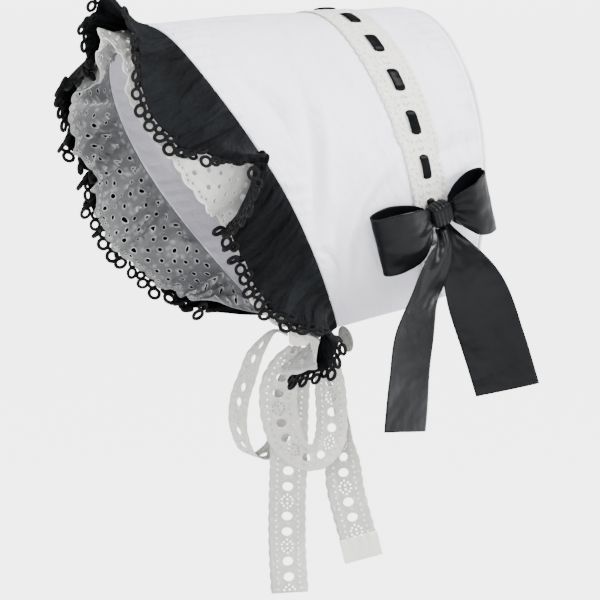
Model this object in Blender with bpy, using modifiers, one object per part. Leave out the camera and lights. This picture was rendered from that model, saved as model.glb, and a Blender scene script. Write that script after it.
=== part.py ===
"""A frilled cotton bonnet with a gathered ruffle round the face, a ribboned lace band, a satin bow and lace ties.

Run it with: blender --background --python part.py
Axes: +X is the wearer's left, +Y is backwards and +Z is up. The origin is the inside of the crown's top,
where the head sits. Lengths are in metres, written as a number of MM.
"""

import math
from collections import namedtuple

import bmesh
import bpy
import numpy as np
from mathutils import Matrix, Vector

MM = 0.001
DOWN = Vector((0, 0, -1))

# Crown: one panel that runs from foot to foot over the head, between a front arch and a back arch.
# depth is the arch's height, front where its top lies along Y, and lean how far it slopes back as it goes down.
WALL = 2.5 * MM
Arch = namedtuple("Arch", "half_width widest_drop depth foot_half_width front top lean lean_radius")
FACE_ARCH = Arch(95 * MM, 118 * MM, 232 * MM, 52 * MM, -150 * MM, -5.5 * MM, 0.74, 45 * MM)
NAPE_ARCH = Arch(94 * MM, 112 * MM, 216 * MM, 64 * MM, 93 * MM, 4 * MM, 0.14, 150 * MM)
FOOT_CURVE = 1.7
CROWN_BULGE = 0.02
CROWN_COLUMNS, CROWN_ROWS = 50, 5
SEAM_GAP = 0.3 * MM
RUFFLE_GAP = 0.6 * MM

# Back panel: a horseshoe that closes the back arch and swells a little behind the head.
BACK_SWELL = 20 * MM
BACK_COLUMNS, BACK_ROWS = 12, 9
BACK_CORNER = 0.42

# Ruffle: black cotton outside and eyelet lace inside, both gathered into the front seam.
RUFFLE_WIDTH = 54 * MM
RUFFLE_CLOTH = 1.2 * MM
RUFFLE_COLUMNS = 100
RUFFLE_REACHES = [0, 15 * MM, 33 * MM, RUFFLE_WIDTH]
LACE_REACHES = [0, 15 * MM, 34 * MM, 56 * MM]
RULING_START = 0.35

# A row for each fold. place runs from -1 at the right foot over the top, 0, to 1 at the left foot. flare is how
# far the cloth turns out from the crown's own line and sway how far it turns towards the left foot, in degrees.
Fold = namedtuple("Fold", "place flare lace_flare sway")
FOLDS = [
    Fold(-1.00, -7, -13, 38),
    Fold(-0.95, -2, -7, 26),
    Fold(-0.90, -2, -5, 16),
    Fold(-0.83, 5, 2, 6),
    Fold(-0.76, 7, 4, -1),
    Fold(-0.69, 20, 17, -3),
    Fold(-0.62, 5, 2, -3),
    Fold(-0.55, -12, -15, 0),
    Fold(-0.50, -26, -29, 0),
    Fold(-0.44, -17, -21, 3),
    Fold(-0.38, -24, -28, 1),
    Fold(-0.31, -22, -28, 8),
    Fold(-0.25, -27, -32, 8),
    Fold(-0.17, -36, -42, 22),
    Fold(-0.09, -1, -17, 28),
    Fold(0.00, 28, 6, 23),
    Fold(0.05, 29, 5, 20),
    Fold(0.12, 23, 4, 24),
    Fold(0.17, 15, -2, 22),
    Fold(0.25, -4, -15, 8),
    Fold(0.32, -14, -23, 6),
    Fold(0.39, -9, -18, 3),
    Fold(0.45, 2, -14, -5),
    Fold(0.48, 36, -14, -2),
    Fold(0.51, 76, -14, 15),
    Fold(0.565, -30, -39, 27),
    Fold(0.62, -26, -33, 23),
    Fold(0.70, -19, -26, 24),
    Fold(0.78, 4, -9, 12),
    Fold(0.86, 28, 14, -8),
    Fold(0.90, 46, 36, -22),
    Fold(0.94, 64, 55, -36),
    Fold(0.97, 60, 52, -10),
    Fold(1.00, 18, 8, 12),
]

# Crocheted edging: loops of black cord along the ruffle's free edge, each drawn as (along, past the edge).
PICOT_PITCH = 13 * MM
PICOT_CORD = 1.8 * MM
PICOT_LOOP = [(-2.6 * MM, 1.5 * MM), (-4.6 * MM, 8.6 * MM), (4.6 * MM, 8.6 * MM), (2.6 * MM, 1.5 * MM)]

# Insertion band: lace laid round the crown, with pairs of slots that a black ribbon is threaded through.
BAND_PLACE = 0.69
BAND_WIDTH = 44 * MM
BAND_CLOTH = 1.0 * MM
BAND_LIFT = 0.6 * MM
BAND_RIDGE_LIFT = 1.5 * MM
BAND_END_GAP = 2 * MM
SLOT_PITCH = 35 * MM
SLOT_SHIFT = 30 * MM
SLOT_INNER, SLOT_OUTER = 4 * MM, 10 * MM
SLOT_HALF_WIDTH = 6 * MM
RIDGE_HALF_WIDTH = 9 * MM
RIBBON_WIDTH = 10 * MM
RIBBON_CLOTH = 0.6 * MM
RIBBON_UNDER, RIBBON_OVER = 0.5 * MM, 2.9 * MM
RIBBON_FIRST, RIBBON_LAST = -8, 5

# Bow on the left side, over the threaded ribbon's end, of 50 mm satin ribbon.
BOW_ARC = SLOT_SHIFT + 5 * SLOT_PITCH
BOW_TILT = math.radians(7)
SATIN_CLOTH = 1.2 * MM
KNOT_SIZE = (19 * MM, 20 * MM, 16 * MM)
KNOT_LIFT = 12 * MM
KNOT_GAP = 0.4 * MM
# The side of a loop, from the knot along its outer layer, round its end and back along its inner layer.
LoopRow = namedtuple("LoopRow", "along lift width")
BOW_LOOP = [
    LoopRow(10.6 * MM, 15 * MM, 17 * MM),
    LoopRow(19 * MM, 21 * MM, 31 * MM),
    LoopRow(32 * MM, 26 * MM, 43 * MM),
    LoopRow(47 * MM, 24 * MM, 49 * MM),
    LoopRow(58 * MM, 19 * MM, 50 * MM),
    LoopRow(61 * MM, 12.5 * MM, 50 * MM),
    LoopRow(56 * MM, 8 * MM, 50 * MM),
    LoopRow(40 * MM, 6 * MM, 46 * MM),
    LoopRow(22 * MM, 6.5 * MM, 32 * MM),
    LoopRow(10.6 * MM, 8.5 * MM, 17 * MM),
]
BACK_LOOP_SHARE = 0.68
BACK_LOOP_SAG = 0.2
# The tails, measured from the knot: back is along +Y, drop is down and out is along +X; turn swings the width out.
TailRow = namedtuple("TailRow", "back drop out turn width")
FRONT_TAIL = [
    TailRow(-3 * MM, 11.4 * MM, 2.5 * MM, 0, 10 * MM),
    TailRow(-1 * MM, 28 * MM, 6.5 * MM, -8, 19 * MM),
    TailRow(-19 * MM, 57 * MM, 10.5 * MM, -24, 46 * MM),
    TailRow(-28 * MM, 90 * MM, 8 * MM, -16, 50 * MM),
    TailRow(-32 * MM, 124 * MM, 6 * MM, -20, 50 * MM),
    TailRow(-36 * MM, 165 * MM, 5 * MM, -16, 50 * MM),
]
BACK_TAIL = [
    TailRow(4 * MM, 10.9 * MM, -3 * MM, 0, 9 * MM),
    TailRow(13 * MM, 27 * MM, 1 * MM, 14, 28 * MM),
    TailRow(29 * MM, 60 * MM, 7 * MM, 26, 48 * MM),
    TailRow(44 * MM, 100 * MM, 10 * MM, 33, 50 * MM),
    TailRow(59 * MM, 140 * MM, 10 * MM, 33, 50 * MM),
]

# Ties: a lace tape from each foot of the rim, tied under the hat. They hang in an upright plane that is turned
# from the hat, so their rows are measured from their knot: across and out in that plane's axes, and drop is down.
TIE_KNOT = Vector((0, -9 * MM, -250 * MM))
TIE_KNOT_SIZE = (18 * MM, 18 * MM, 14 * MM)
TIE_TURN = math.radians(56)
TIE_CLOTH = 1.2 * MM
TIE_WIDTH = 30 * MM
TIE_PITCH = 36 * MM
TIE_SLOT_INNER, TIE_SLOT_OUTER = 2.5 * MM, 10.5 * MM
TIE_SLOT_SHARE = 0.3
TIE_SLOT_MARGIN = 14 * MM
# turn swings the tape's width out of the plane and roll turns it within the plane.
TieRow = namedtuple("TieRow", "across drop out turn roll width")
SIDE_LOOP = [
    TieRow(-9.8 * MM, -2 * MM, -2 * MM, 90, 0, 12 * MM),
    TieRow(-21 * MM, -4 * MM, -1 * MM, 75, 0, 20 * MM),
    TieRow(-34 * MM, 12 * MM, 2 * MM, 64, 0, TIE_WIDTH),
    TieRow(-42 * MM, 33 * MM, 2 * MM, 62, 0, TIE_WIDTH),
    TieRow(-48 * MM, 53 * MM, 1 * MM, 62, 0, TIE_WIDTH),
    TieRow(-48 * MM, 73 * MM, -1 * MM, 62, 0, TIE_WIDTH),
    TieRow(-42 * MM, 90 * MM, -7 * MM, 62, 0, TIE_WIDTH),
    TieRow(-31 * MM, 96 * MM, -15 * MM, 62, 0, TIE_WIDTH),
    TieRow(-19 * MM, 86 * MM, -18 * MM, 62, 0, TIE_WIDTH),
    TieRow(-12 * MM, 64 * MM, -22 * MM, 62, 0, TIE_WIDTH),
    TieRow(-8 * MM, 40 * MM, -22 * MM, 62, 0, TIE_WIDTH),
    TieRow(-5 * MM, 20 * MM, -17 * MM, 50, 0, 18 * MM),
    TieRow(-4 * MM, 7.9 * MM, -7.5 * MM, 0, 0, 9 * MM),
]
MIDDLE_LOOP = [
    TieRow(-4 * MM, 7.9 * MM, 6 * MM, 0, 0, 10 * MM),
    TieRow(-10 * MM, 20 * MM, 10 * MM, 5, 0, 24 * MM),
    TieRow(-16 * MM, 36 * MM, 12 * MM, 3, 0, TIE_WIDTH),
    TieRow(-17 * MM, 52 * MM, 12 * MM, 0, 0, TIE_WIDTH),
    TieRow(-14 * MM, 68 * MM, 11 * MM, 0, 5, TIE_WIDTH),
    TieRow(-9 * MM, 82 * MM, 9 * MM, 0, 35, 27 * MM),
    TieRow(2 * MM, 93 * MM, 7 * MM, 0, 75, 22 * MM),
    TieRow(15 * MM, 93 * MM, 3 * MM, 0, 110, 22 * MM),
    TieRow(23 * MM, 82 * MM, -1 * MM, 0, 150, 25 * MM),
    TieRow(25 * MM, 66 * MM, -3 * MM, 0, 175, 25 * MM),
    TieRow(24 * MM, 46 * MM, -3 * MM, 0, 180, 25 * MM),
    TieRow(22 * MM, 26 * MM, -1 * MM, 15, 180, 22 * MM),
    TieRow(16 * MM, 8 * MM, 1 * MM, 55, 180, 14 * MM),
    TieRow(9.8 * MM, 1 * MM, 0 * MM, 90, 180, 8 * MM),
]
LEFT_TAIL = [
    TieRow(-1 * MM, 7.9 * MM, 1 * MM, 0, 0, 10 * MM),
    TieRow(-4 * MM, 30 * MM, -1 * MM, 0, 0, 24 * MM),
    TieRow(-8 * MM, 60 * MM, 0 * MM, 0, 0, TIE_WIDTH),
    TieRow(-9 * MM, 100 * MM, 2 * MM, 0, 0, TIE_WIDTH),
    TieRow(-10 * MM, 130 * MM, 2 * MM, 6, 0, TIE_WIDTH),
    TieRow(-10 * MM, 165 * MM, 0 * MM, -6, 0, TIE_WIDTH),
    TieRow(-8 * MM, 202 * MM, 0 * MM, 0, 0, TIE_WIDTH),
]
RIGHT_TAIL = [
    TieRow(6 * MM, 7.9 * MM, -6 * MM, 0, 0, 5 * MM),
    TieRow(22 * MM, 30 * MM, -14 * MM, 60, 0, 20 * MM),
    TieRow(32 * MM, 60 * MM, -19 * MM, 66, 0, 24 * MM),
    TieRow(35 * MM, 84 * MM, -18 * MM, 62, 0, 26 * MM),
    TieRow(34 * MM, 104 * MM, -12 * MM, 20, 0, TIE_WIDTH),
    TieRow(36 * MM, 122 * MM, -8 * MM, 0, 8, TIE_WIDTH),
    TieRow(41 * MM, 142 * MM, -7 * MM, 0, 16, TIE_WIDTH),
    TieRow(45.5 * MM, 158 * MM, -7 * MM, 0, 16, TIE_WIDTH),
]
TIE_HEM_LENGTH = 19 * MM
TIE_HEM_CLOTH = 2.2 * MM
STRAP_WIDTH = 24 * MM
STRAP_DEPTH = 0.13
STRAP_GAP = 0.8 * MM

# Ribbed tab that hangs at the left foot of the crown.
TAB_SIZE = (3.4 * MM, 12 * MM, 22 * MM)
TAB_DEPTH = 0.06
TAB_TILT = math.radians(25)
TAB_RIBS = 5


def arch_point(arch, place):
    """A point on an arch. place runs from -1 at the right foot over the top, 0, to 1 at the left foot."""
    quarter = math.pi / 2
    lower = arch.depth - arch.widest_drop
    turn = abs(place) * (quarter + lower / arch.widest_drop)
    if turn <= quarter:
        across = arch.half_width * math.sin(turn)
        drop = arch.widest_drop * (1 - math.cos(turn))
    else:
        below = (turn - quarter) * arch.widest_drop / lower
        across = arch.half_width - (arch.half_width - arch.foot_half_width) * below ** FOOT_CURVE
        drop = arch.widest_drop + lower * below
    back = arch.front + arch.lean * (math.hypot(drop, arch.lean_radius) - arch.lean_radius)
    return Vector((math.copysign(across, place), back, arch.top - drop))


def crown_point(place, depth):
    """A point on the outside of the crown. depth runs from 0 at the front seam to 1 at the back seam."""
    point = arch_point(FACE_ARCH, place).lerp(arch_point(NAPE_ARCH, place), depth)
    centre = Vector((0, point.y, -FACE_ARCH.widest_drop))
    return centre + (point - centre) * (1 + CROWN_BULGE * 4 * depth * (1 - depth))


def crown_axes(place, depth):
    """The crown's directions at a point: along the arch towards the left foot, out of the cloth, and backwards."""
    step = 0.002
    along = (crown_point(place + step, depth) - crown_point(place - step, depth)).normalized()
    back = crown_point(place, depth + step) - crown_point(place, depth - step)
    outward = along.cross(back).normalized()
    return along, outward, outward.cross(along)


def lengths_along(points):
    """The distance from the first point to each point, along the line through them."""
    steps = [(b - a).length for a, b in zip(points, points[1:])]
    return np.concatenate([[0], np.cumsum(steps)])


def material(name, colour, roughness):
    """A plain finish of one colour."""
    finish = bpy.data.materials.new(name)
    finish.use_nodes = True
    shader = finish.node_tree.nodes["Principled BSDF"]
    shader.inputs["Base Color"].default_value = (*colour, 1)
    shader.inputs["Roughness"].default_value = roughness
    shader.inputs["Metallic"].default_value = 0
    finish.diffuse_color = (*colour, 1)
    return finish


def add_object(name, data, finish):
    """Links an object to the bonnet's collection, under the empty that carries them all."""
    item = bpy.data.objects.new(name, data)
    item.data.materials.append(finish)
    item.parent = bonnet
    collection.objects.link(item)
    return item


def sheet(name, us, vs, point_at, cloth, finish, offset=0, is_hole=None):
    """A cloth sheet: a grid with a column at each of us and a row at each of vs, mapped by point_at and thickened.

    offset is 1 where the cloth grows out from the mapped surface, -1 inwards and 0 both ways.
    is_hole says which cells, given by their middle u and v, are left open.
    """
    mesh = bmesh.new()
    columns, rows = len(us) - 1, len(vs) - 1
    bmesh.ops.create_grid(mesh, x_segments=columns, y_segments=rows, size=0.5)
    at = {vert: (round((vert.co.x + 0.5) * columns), round((vert.co.y + 0.5) * rows)) for vert in mesh.verts}
    if is_hole:
        holes = []
        for face in mesh.faces:
            u = sum(us[at[vert][0]] for vert in face.verts) / 4
            v = sum(vs[at[vert][1]] for vert in face.verts) / 4
            if is_hole(u, v):
                holes.append(face)
        bmesh.ops.delete(mesh, geom=holes, context="FACES")
    for vert in mesh.verts:
        column, row = at[vert]
        vert.co = point_at(us[column], vs[row])
    bmesh.ops.triangulate(mesh, faces=mesh.faces, quad_method="FIXED")
    data = bpy.data.meshes.new(name)
    mesh.to_mesh(data)
    mesh.free()
    data.shade_smooth()
    item = add_object(name, data, finish)
    wall = item.modifiers.new("Cloth", "SOLIDIFY")
    wall.thickness = cloth
    wall.offset = offset
    return item


def smooth(rows, part):
    """Every column of the rows at a part, 0 to 1, of the way along a curve through all of them."""
    place = part * (len(rows) - 1)
    start = min(int(place), len(rows) - 2)
    part = place - start
    near = [rows[min(max(start + k, 0), len(rows) - 1)] for k in (-1, 0, 1, 2)]
    return [
        b + 0.5 * part * (c - a + part * (2 * a - 5 * b + 4 * c - d + part * (3 * (b - c) + d - a)))
        for a, b, c, d in zip(*near)
    ]


def ribbon(name, stops, cloth, finish, columns=12, rows=2, slotted=False):
    """A ribbon on a smooth line through its stops, which each give a point, the way of its width and the width."""
    flat = [(*point, *side, width) for point, side, width in stops]
    parts = np.linspace(0, 1, 201)
    line = [Vector(smooth(flat, part)[:3]) for part in parts]
    lengths = lengths_along(line)
    if slotted:
        us = slotted_stations(lengths[-1])
        vs = [-0.5, -TIE_SLOT_SHARE / 2, TIE_SLOT_SHARE / 2, 0.5]
    else:
        us = list(np.linspace(0, lengths[-1], columns + 1))
        vs = list(np.linspace(-0.5, 0.5, rows + 1))

    def point_at(length, share):
        part = np.interp(length, lengths, parts)
        step = 0.002
        before = Vector(smooth(flat, max(part - step, 0))[:3])
        after = Vector(smooth(flat, min(part + step, 1))[:3])
        along = (after - before).normalized()
        row = smooth(flat, part)
        side = Vector(row[3:6])
        side = (side - along * side.dot(along)).normalized()
        return Vector(row[:3]) + side * row[6] * share

    def is_hole(length, share):
        away = min(abs(length - middle) for middle in tie_slots(lengths[-1]))
        return abs(share) < TIE_SLOT_SHARE / 2 and TIE_SLOT_INNER < away < TIE_SLOT_OUTER

    return sheet(name, us, vs, point_at, cloth, finish, is_hole=is_hole if slotted else None)


def tie_slots(length):
    """The middles of a tape's pairs of slots."""
    count = int((length - 2 * TIE_SLOT_MARGIN) / TIE_PITCH)
    return [TIE_SLOT_MARGIN + (index + 0.5) * TIE_PITCH for index in range(count)]


def slotted_stations(length):
    """Where a slotted tape has its cross lines: its ends and both ends of every slot."""
    ways = (-TIE_SLOT_OUTER, -TIE_SLOT_INNER, TIE_SLOT_INNER, TIE_SLOT_OUTER)
    return [0] + [middle + way for middle in tie_slots(length) for way in ways] + [length]


def build_crown(finish):
    """The crown's one panel."""
    us = list(np.linspace(-1, 1, CROWN_COLUMNS + 1))
    vs = list(np.linspace(0, 1, CROWN_ROWS + 1))
    sheet("side_crown", us, vs, crown_point, WALL, finish, offset=-1)


def build_back(finish):
    """The horseshoe behind the head, stretched between the back arch and the neck edge."""
    def rim(place):
        return crown_point(place, 1) + Vector((0, SEAM_GAP, 0))

    def leg(height):
        return 1 - (1 - BACK_CORNER) * height

    def point_at(across, height):
        low = rim(1).lerp(rim(-1), across)
        high = rim(BACK_CORNER * (1 - 2 * across))
        legs = rim(leg(height)).lerp(rim(-leg(height)), across)
        corners_low = rim(1).lerp(rim(-1), across)
        corners_high = rim(BACK_CORNER).lerp(rim(-BACK_CORNER), across)
        point = low.lerp(high, height) + legs - corners_low.lerp(corners_high, height)
        swell = BACK_SWELL * 4 * across * (1 - across) * (1 - height ** 2)
        return point + Vector((0, swell, 0))

    us = list(np.linspace(0, 1, BACK_COLUMNS + 1))
    vs = list(np.linspace(0, 1, BACK_ROWS + 1))
    sheet("back_panel", us, vs, point_at, WALL, finish, offset=1)


def fold_at(place):
    """The row of FOLDS at a place on the rim, eased from each row to the next."""
    columns = list(zip(*FOLDS))
    after = min(max(int(np.searchsorted(columns[0], place)), 1), len(FOLDS) - 1)
    start, end = FOLDS[after - 1], FOLDS[after]
    part = min(max((place - start.place) / (end.place - start.place), 0), 1)
    ease = part * part * (3 - 2 * part)
    return Fold(*(a + (b - a) * ease for a, b in zip(start, end)))


def ruffle_point(place, reach, lace=False):
    """A point on a ruffle's outer side, at a distance from the seam along the cloth."""
    along, outward, back = crown_axes(place, 0)
    fold = fold_at(place)
    part = reach / RUFFLE_WIDTH
    flare = math.radians(fold.lace_flare if lace else fold.flare)
    flare *= RULING_START + (1 - RULING_START) * min(part, 1)
    inset = RUFFLE_CLOTH + SEAM_GAP if lace else 0
    base = crown_point(place, 0) - outward * inset - back * RUFFLE_GAP
    sway = math.radians(fold.sway)
    level = along * math.sin(sway) - back * math.cos(sway)
    return base + (outward * math.sin(flare) + level * math.cos(flare)) * reach


def build_ruffles(cotton, lace):
    """The black ruffle and the lace ruffle inside it."""
    us = list(np.linspace(-1, 1, RUFFLE_COLUMNS + 1))

    def lace_point(place, reach):
        return ruffle_point(place, reach, lace=True)

    sheet("black_ruffle", us, RUFFLE_REACHES[::-1], ruffle_point, RUFFLE_CLOTH, cotton, offset=-1)
    sheet("eyelet_ruffle", us, LACE_REACHES[::-1], lace_point, RUFFLE_CLOTH, lace, offset=-1)


def build_picots(finish):
    """The crocheted loops, as one cord that wanders along the black ruffle's free edge."""
    places = np.linspace(-0.999, 0.999, 1201)
    edge = [ruffle_point(place, RUFFLE_WIDTH) for place in places]
    lengths = lengths_along(edge)
    count = round(lengths[-1] / PICOT_PITCH)
    pitch = lengths[-1] / count
    points = []
    for index in range(count):
        middle = (index + 0.5) * pitch
        for along, past in PICOT_LOOP:
            place = np.interp(middle + along, lengths, places)
            outward = crown_axes(place, 0)[1]
            points.append(ruffle_point(place, RUFFLE_WIDTH + past) - outward * RUFFLE_CLOTH / 2)
    cord("picot_edging", points, PICOT_CORD, finish)


def cord(name, points, thickness, finish):
    """A round cord through the points, with closed ends."""
    curve = bpy.data.curves.new(name, "CURVE")
    curve.dimensions = "3D"
    curve.bevel_depth = thickness / 2
    curve.bevel_resolution = 0
    curve.use_fill_caps = True
    spline = curve.splines.new("POLY")
    spline.points.add(len(points) - 1)
    for control, point in zip(spline.points, points):
        control.co = (*point, 1)
    return add_object(name, curve, finish)


def band_table():
    """The places along the crown at the band's middle, and the arc length from the top to each."""
    places = np.linspace(-1, 1, 801)
    lengths = lengths_along([crown_point(place, BAND_PLACE) for place in places])
    return places, lengths - lengths[-1] / 2


def band_point(arc, across, lift):
    """A point over the lace band: arc from the top towards the left foot, across to the back, lift outwards."""
    places, arcs = BAND_TABLE
    place = np.interp(arc, arcs, places)
    panel = (crown_point(place, 1) - crown_point(place, 0)).length
    depth = BAND_PLACE + across / panel
    return crown_point(place, depth) + crown_axes(place, depth)[1] * lift


def slot_arcs():
    """The middles of the pairs of slots."""
    half = BAND_TABLE[1][-1] - BAND_END_GAP
    reach = int(half / SLOT_PITCH) + 1
    middles = [SLOT_SHIFT + index * SLOT_PITCH for index in range(-reach - 1, reach + 1)]
    return [middle for middle in middles if abs(middle) < half - SLOT_OUTER]


def build_band(lace):
    """The lace band, lifted in its middle over the ribbon."""
    half = BAND_TABLE[1][-1] - BAND_END_GAP
    edges = [way * slot for way in (-1, 1) for slot in (SLOT_INNER, SLOT_OUTER)]
    us = sorted([-half, half] + [middle + edge for middle in slot_arcs() for edge in edges])
    outer, ridge = BAND_WIDTH / 2, RIDGE_HALF_WIDTH
    vs = [-outer, -ridge, -SLOT_HALF_WIDTH, SLOT_HALF_WIDTH, ridge, outer]

    def point_at(arc, across):
        raised = abs(across) < ridge - SEAM_GAP
        return band_point(arc, across, BAND_RIDGE_LIFT if raised else BAND_LIFT)

    def is_hole(arc, across):
        away = min(abs(arc - middle) for middle in slot_arcs())
        return abs(across) < SLOT_HALF_WIDTH / 2 and SLOT_INNER < away < SLOT_OUTER

    sheet("lace_band", us, vs, point_at, BAND_CLOTH, lace, offset=1, is_hole=is_hole)


def build_threaded_ribbon(satin):
    """The narrow ribbon: over the lace between the two slots of a pair, and under it from pair to pair."""
    arcs, lifts = [], []
    for index in range(RIBBON_FIRST, RIBBON_LAST + 1):
        middle = SLOT_SHIFT + index * SLOT_PITCH
        arcs += [middle - SLOT_OUTER, middle - SLOT_INNER, middle + SLOT_INNER, middle + SLOT_OUTER]
        lifts += [RIBBON_UNDER, RIBBON_OVER, RIBBON_OVER, RIBBON_UNDER]

    def point_at(arc, across):
        return band_point(arc, across, lifts[arcs.index(arc)])

    vs = [-RIBBON_WIDTH / 2, RIBBON_WIDTH / 2]
    sheet("threaded_ribbon", arcs, vs, point_at, RIBBON_CLOTH, satin, offset=1)


def bow_axes():
    """The bow's place on the crown, and its directions: back along its loops, up across them, and outwards."""
    places, arcs = BAND_TABLE
    outward, back = crown_axes(np.interp(BOW_ARC, arcs, places), BAND_PLACE)[1:]
    back = Matrix.Rotation(BOW_TILT, 3, outward) @ back
    return band_point(BOW_ARC, 0, 0), back, outward.cross(back), outward


def rounded_block(name, size, axes, centre, finish):
    """A knot: a block with rounded edges, turned to the three axes."""
    mesh = bmesh.new()
    bmesh.ops.create_cube(mesh, size=1)
    turn = Matrix(axes).transposed()
    for vert in mesh.verts:
        local = Vector(side * share for side, share in zip(size, vert.co))
        vert.co = centre + turn @ local
    data = bpy.data.meshes.new(name)
    mesh.to_mesh(data)
    mesh.free()
    item = add_object(name, data, finish)
    rounding = item.modifiers.new("Rounding", "BEVEL")
    rounding.width = min(size) * 0.3
    rounding.segments = 3
    return item


def build_bow(satin):
    """The satin bow: its knot, its two loops and its two tails."""
    foot, back, up, outward = bow_axes()
    centre = foot + outward * KNOT_LIFT
    rounded_block("bow_knot", KNOT_SIZE, (back, up, outward), centre, satin)
    loops = (("bow_front_loop", -1, 1, 0), ("bow_back_loop", 1, BACK_LOOP_SHARE, BACK_LOOP_SAG))
    for name, way, share, sag in loops:
        stops = []
        for row in BOW_LOOP:
            beyond = (row.along - BOW_LOOP[0].along) * share
            point = foot + back * way * (BOW_LOOP[0].along + beyond) - up * sag * beyond + outward * row.lift
            stops.append((point, up, row.width))
        ribbon(name, stops, SATIN_CLOTH, satin, columns=18)
    for name, rows in (("bow_front_tail", FRONT_TAIL), ("bow_back_tail", BACK_TAIL)):
        first = rows[0]
        stops = [(centre + outward * first.out + back * first.back - up * first.drop, back, first.width)]
        for row in rows[1:]:
            turn = math.radians(row.turn)
            point = centre + Vector((row.out, row.back, -row.drop))
            stops.append((point, Vector((math.sin(turn), math.cos(turn), 0)), row.width))
        ribbon(name, stops, SATIN_CLOTH, satin, columns=12)


def tie_stop(row):
    """A stop of a tie: its point, the way of its width, and its width."""
    turn, roll = math.radians(row.turn), math.radians(row.roll)
    point = TIE_KNOT + TIE_ACROSS * row.across + DOWN * row.drop + TIE_OUT * row.out
    level = TIE_ACROSS * math.cos(turn) + TIE_OUT * math.sin(turn)
    return point, level * math.cos(roll) - DOWN * math.sin(roll), row.width


def build_ties(lace, cotton):
    """The lace ties: a strap from each foot, the knot, two loops and two tails, one with a folded cotton end."""
    rounded_block("tie_knot", TIE_KNOT_SIZE, (TIE_OUT, TIE_ACROSS, -DOWN), TIE_KNOT, lace)
    for name, rows in (("tie_side_loop", SIDE_LOOP), ("tie_middle_loop", MIDDLE_LOOP),
                       ("tie_left_tail", LEFT_TAIL), ("tie_right_tail", RIGHT_TAIL)):
        ribbon(name, [tie_stop(row) for row in rows], TIE_CLOTH, lace, slotted=True)
    end, side, width = tie_stop(RIGHT_TAIL[-1])
    before = tie_stop(RIGHT_TAIL[-2])[0]
    onward = (end - before).normalized()
    stops = [(end + onward * way, side, width + 1 * MM) for way in (SEAM_GAP, TIE_HEM_LENGTH)]
    ribbon("tie_hem", stops, TIE_HEM_CLOTH, cotton, columns=1, rows=1)
    for name, way in (("tie_strap_left", 1), ("tie_strap_right", -1)):
        stops = []
        for place in (0.9, 0.96):
            along, outward, back = crown_axes(way * place, STRAP_DEPTH)
            inside = crown_point(way * place, STRAP_DEPTH) - outward * (WALL + STRAP_GAP + TIE_CLOTH / 2)
            stops.append((inside, back, STRAP_WIDTH))
        inner = stops[-1][0]
        stops.append((inner + Vector((-way * 8 * MM, -3 * MM, -8 * MM)), Vector((0, 1, 0)), STRAP_WIDTH))
        stops.append((inner.lerp(TIE_KNOT, 0.5) + DOWN * 1 * MM, Vector((way * 0.2, 1, 0)), 18 * MM))
        for away, width in ((9 * MM, 13 * MM), (2 * KNOT_GAP, 10 * MM)):
            face = TIE_KNOT + TIE_OUT * way * (TIE_KNOT_SIZE[0] / 2 + away) - DOWN * 3 * MM
            stops.append((face, TIE_ACROSS, width))
        ribbon(name, stops, TIE_CLOTH, lace, columns=10, rows=1)


def build_tab(finish):
    """The ribbed tab: a thin oval plate with ribs along it, hung from the left foot."""
    mesh = bmesh.new()
    bmesh.ops.create_uvsphere(mesh, u_segments=4 * TAB_RIBS, v_segments=8, radius=0.5)
    foot = crown_point(1, TAB_DEPTH)
    reach = math.hypot(TAB_SIZE[2] * math.cos(TAB_TILT), TAB_SIZE[1] * math.sin(TAB_TILT)) / 2
    hang = Vector((-WALL / 2, 0, -reach - 2 * SEAM_GAP))
    turn = Matrix.Rotation(TAB_TILT, 3, "X")
    for vert in mesh.verts:
        level = math.hypot(vert.co.x, vert.co.y)
        rib = 1 + 0.25 * math.cos(math.atan2(vert.co.y, vert.co.x) * 2 * TAB_RIBS) * level
        local = Vector((TAB_SIZE[0] * vert.co.x * rib, TAB_SIZE[1] * vert.co.y, TAB_SIZE[2] * vert.co.z))
        vert.co = foot + hang + turn @ local
    data = bpy.data.meshes.new("ribbed_tab")
    mesh.to_mesh(data)
    mesh.free()
    data.shade_smooth()
    add_object("ribbed_tab", data, finish)


for leftover in list(bpy.data.objects):
    bpy.data.objects.remove(leftover, do_unlink=True)
collection = bpy.data.collections.new("Frilled bonnet")
bpy.context.scene.collection.children.link(collection)
bonnet = bpy.data.objects.new("bonnet", None)
collection.objects.link(bonnet)

BAND_TABLE = band_table()
TIE_ACROSS = Vector((math.cos(TIE_TURN), math.sin(TIE_TURN), 0))
TIE_OUT = Vector((math.sin(TIE_TURN), -math.cos(TIE_TURN), 0))

white_cotton = material("white_cotton", (0.86, 0.86, 0.90), 0.85)
black_cotton = material("black_cotton", (0.015, 0.018, 0.022), 0.8)
white_lace = material("white_lace", (0.82, 0.82, 0.78), 0.9)
black_satin = material("black_satin", (0.02, 0.022, 0.026), 0.35)
black_crochet = material("black_crochet", (0.012, 0.012, 0.014), 0.7)
cream_cotton = material("cream_cotton", (0.84, 0.83, 0.76), 0.85)
grey_plastic = material("grey_plastic", (0.14, 0.14, 0.12), 0.5)

build_crown(white_cotton)
build_back(white_cotton)
build_ruffles(black_cotton, white_lace)
build_picots(black_crochet)
build_band(white_lace)
build_threaded_ribbon(black_satin)
build_bow(black_satin)
build_ties(white_lace, cream_cotton)
build_tab(grey_plastic)
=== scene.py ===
# %% [markdown]
# # A frilled cotton bonnet
# The object is a white cotton bonnet in its worn form. A gathered black ruffle lined with eyelet lace frames
# the face, a lace band with a black ribbon threaded through it runs over the crown, a satin bow sits on its
# left side, and lace ties hang tied below the rim. Nearly everything here is cloth, so most pieces are thin
# closed sheets. They could be cut flat and simulated, but the folds of this hat are pressed and sewn in, so
# each piece is laid on a surface that a few plain functions describe, and its gathers and creases are added
# to that surface.

# %% The frame
import math
from collections import namedtuple

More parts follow.
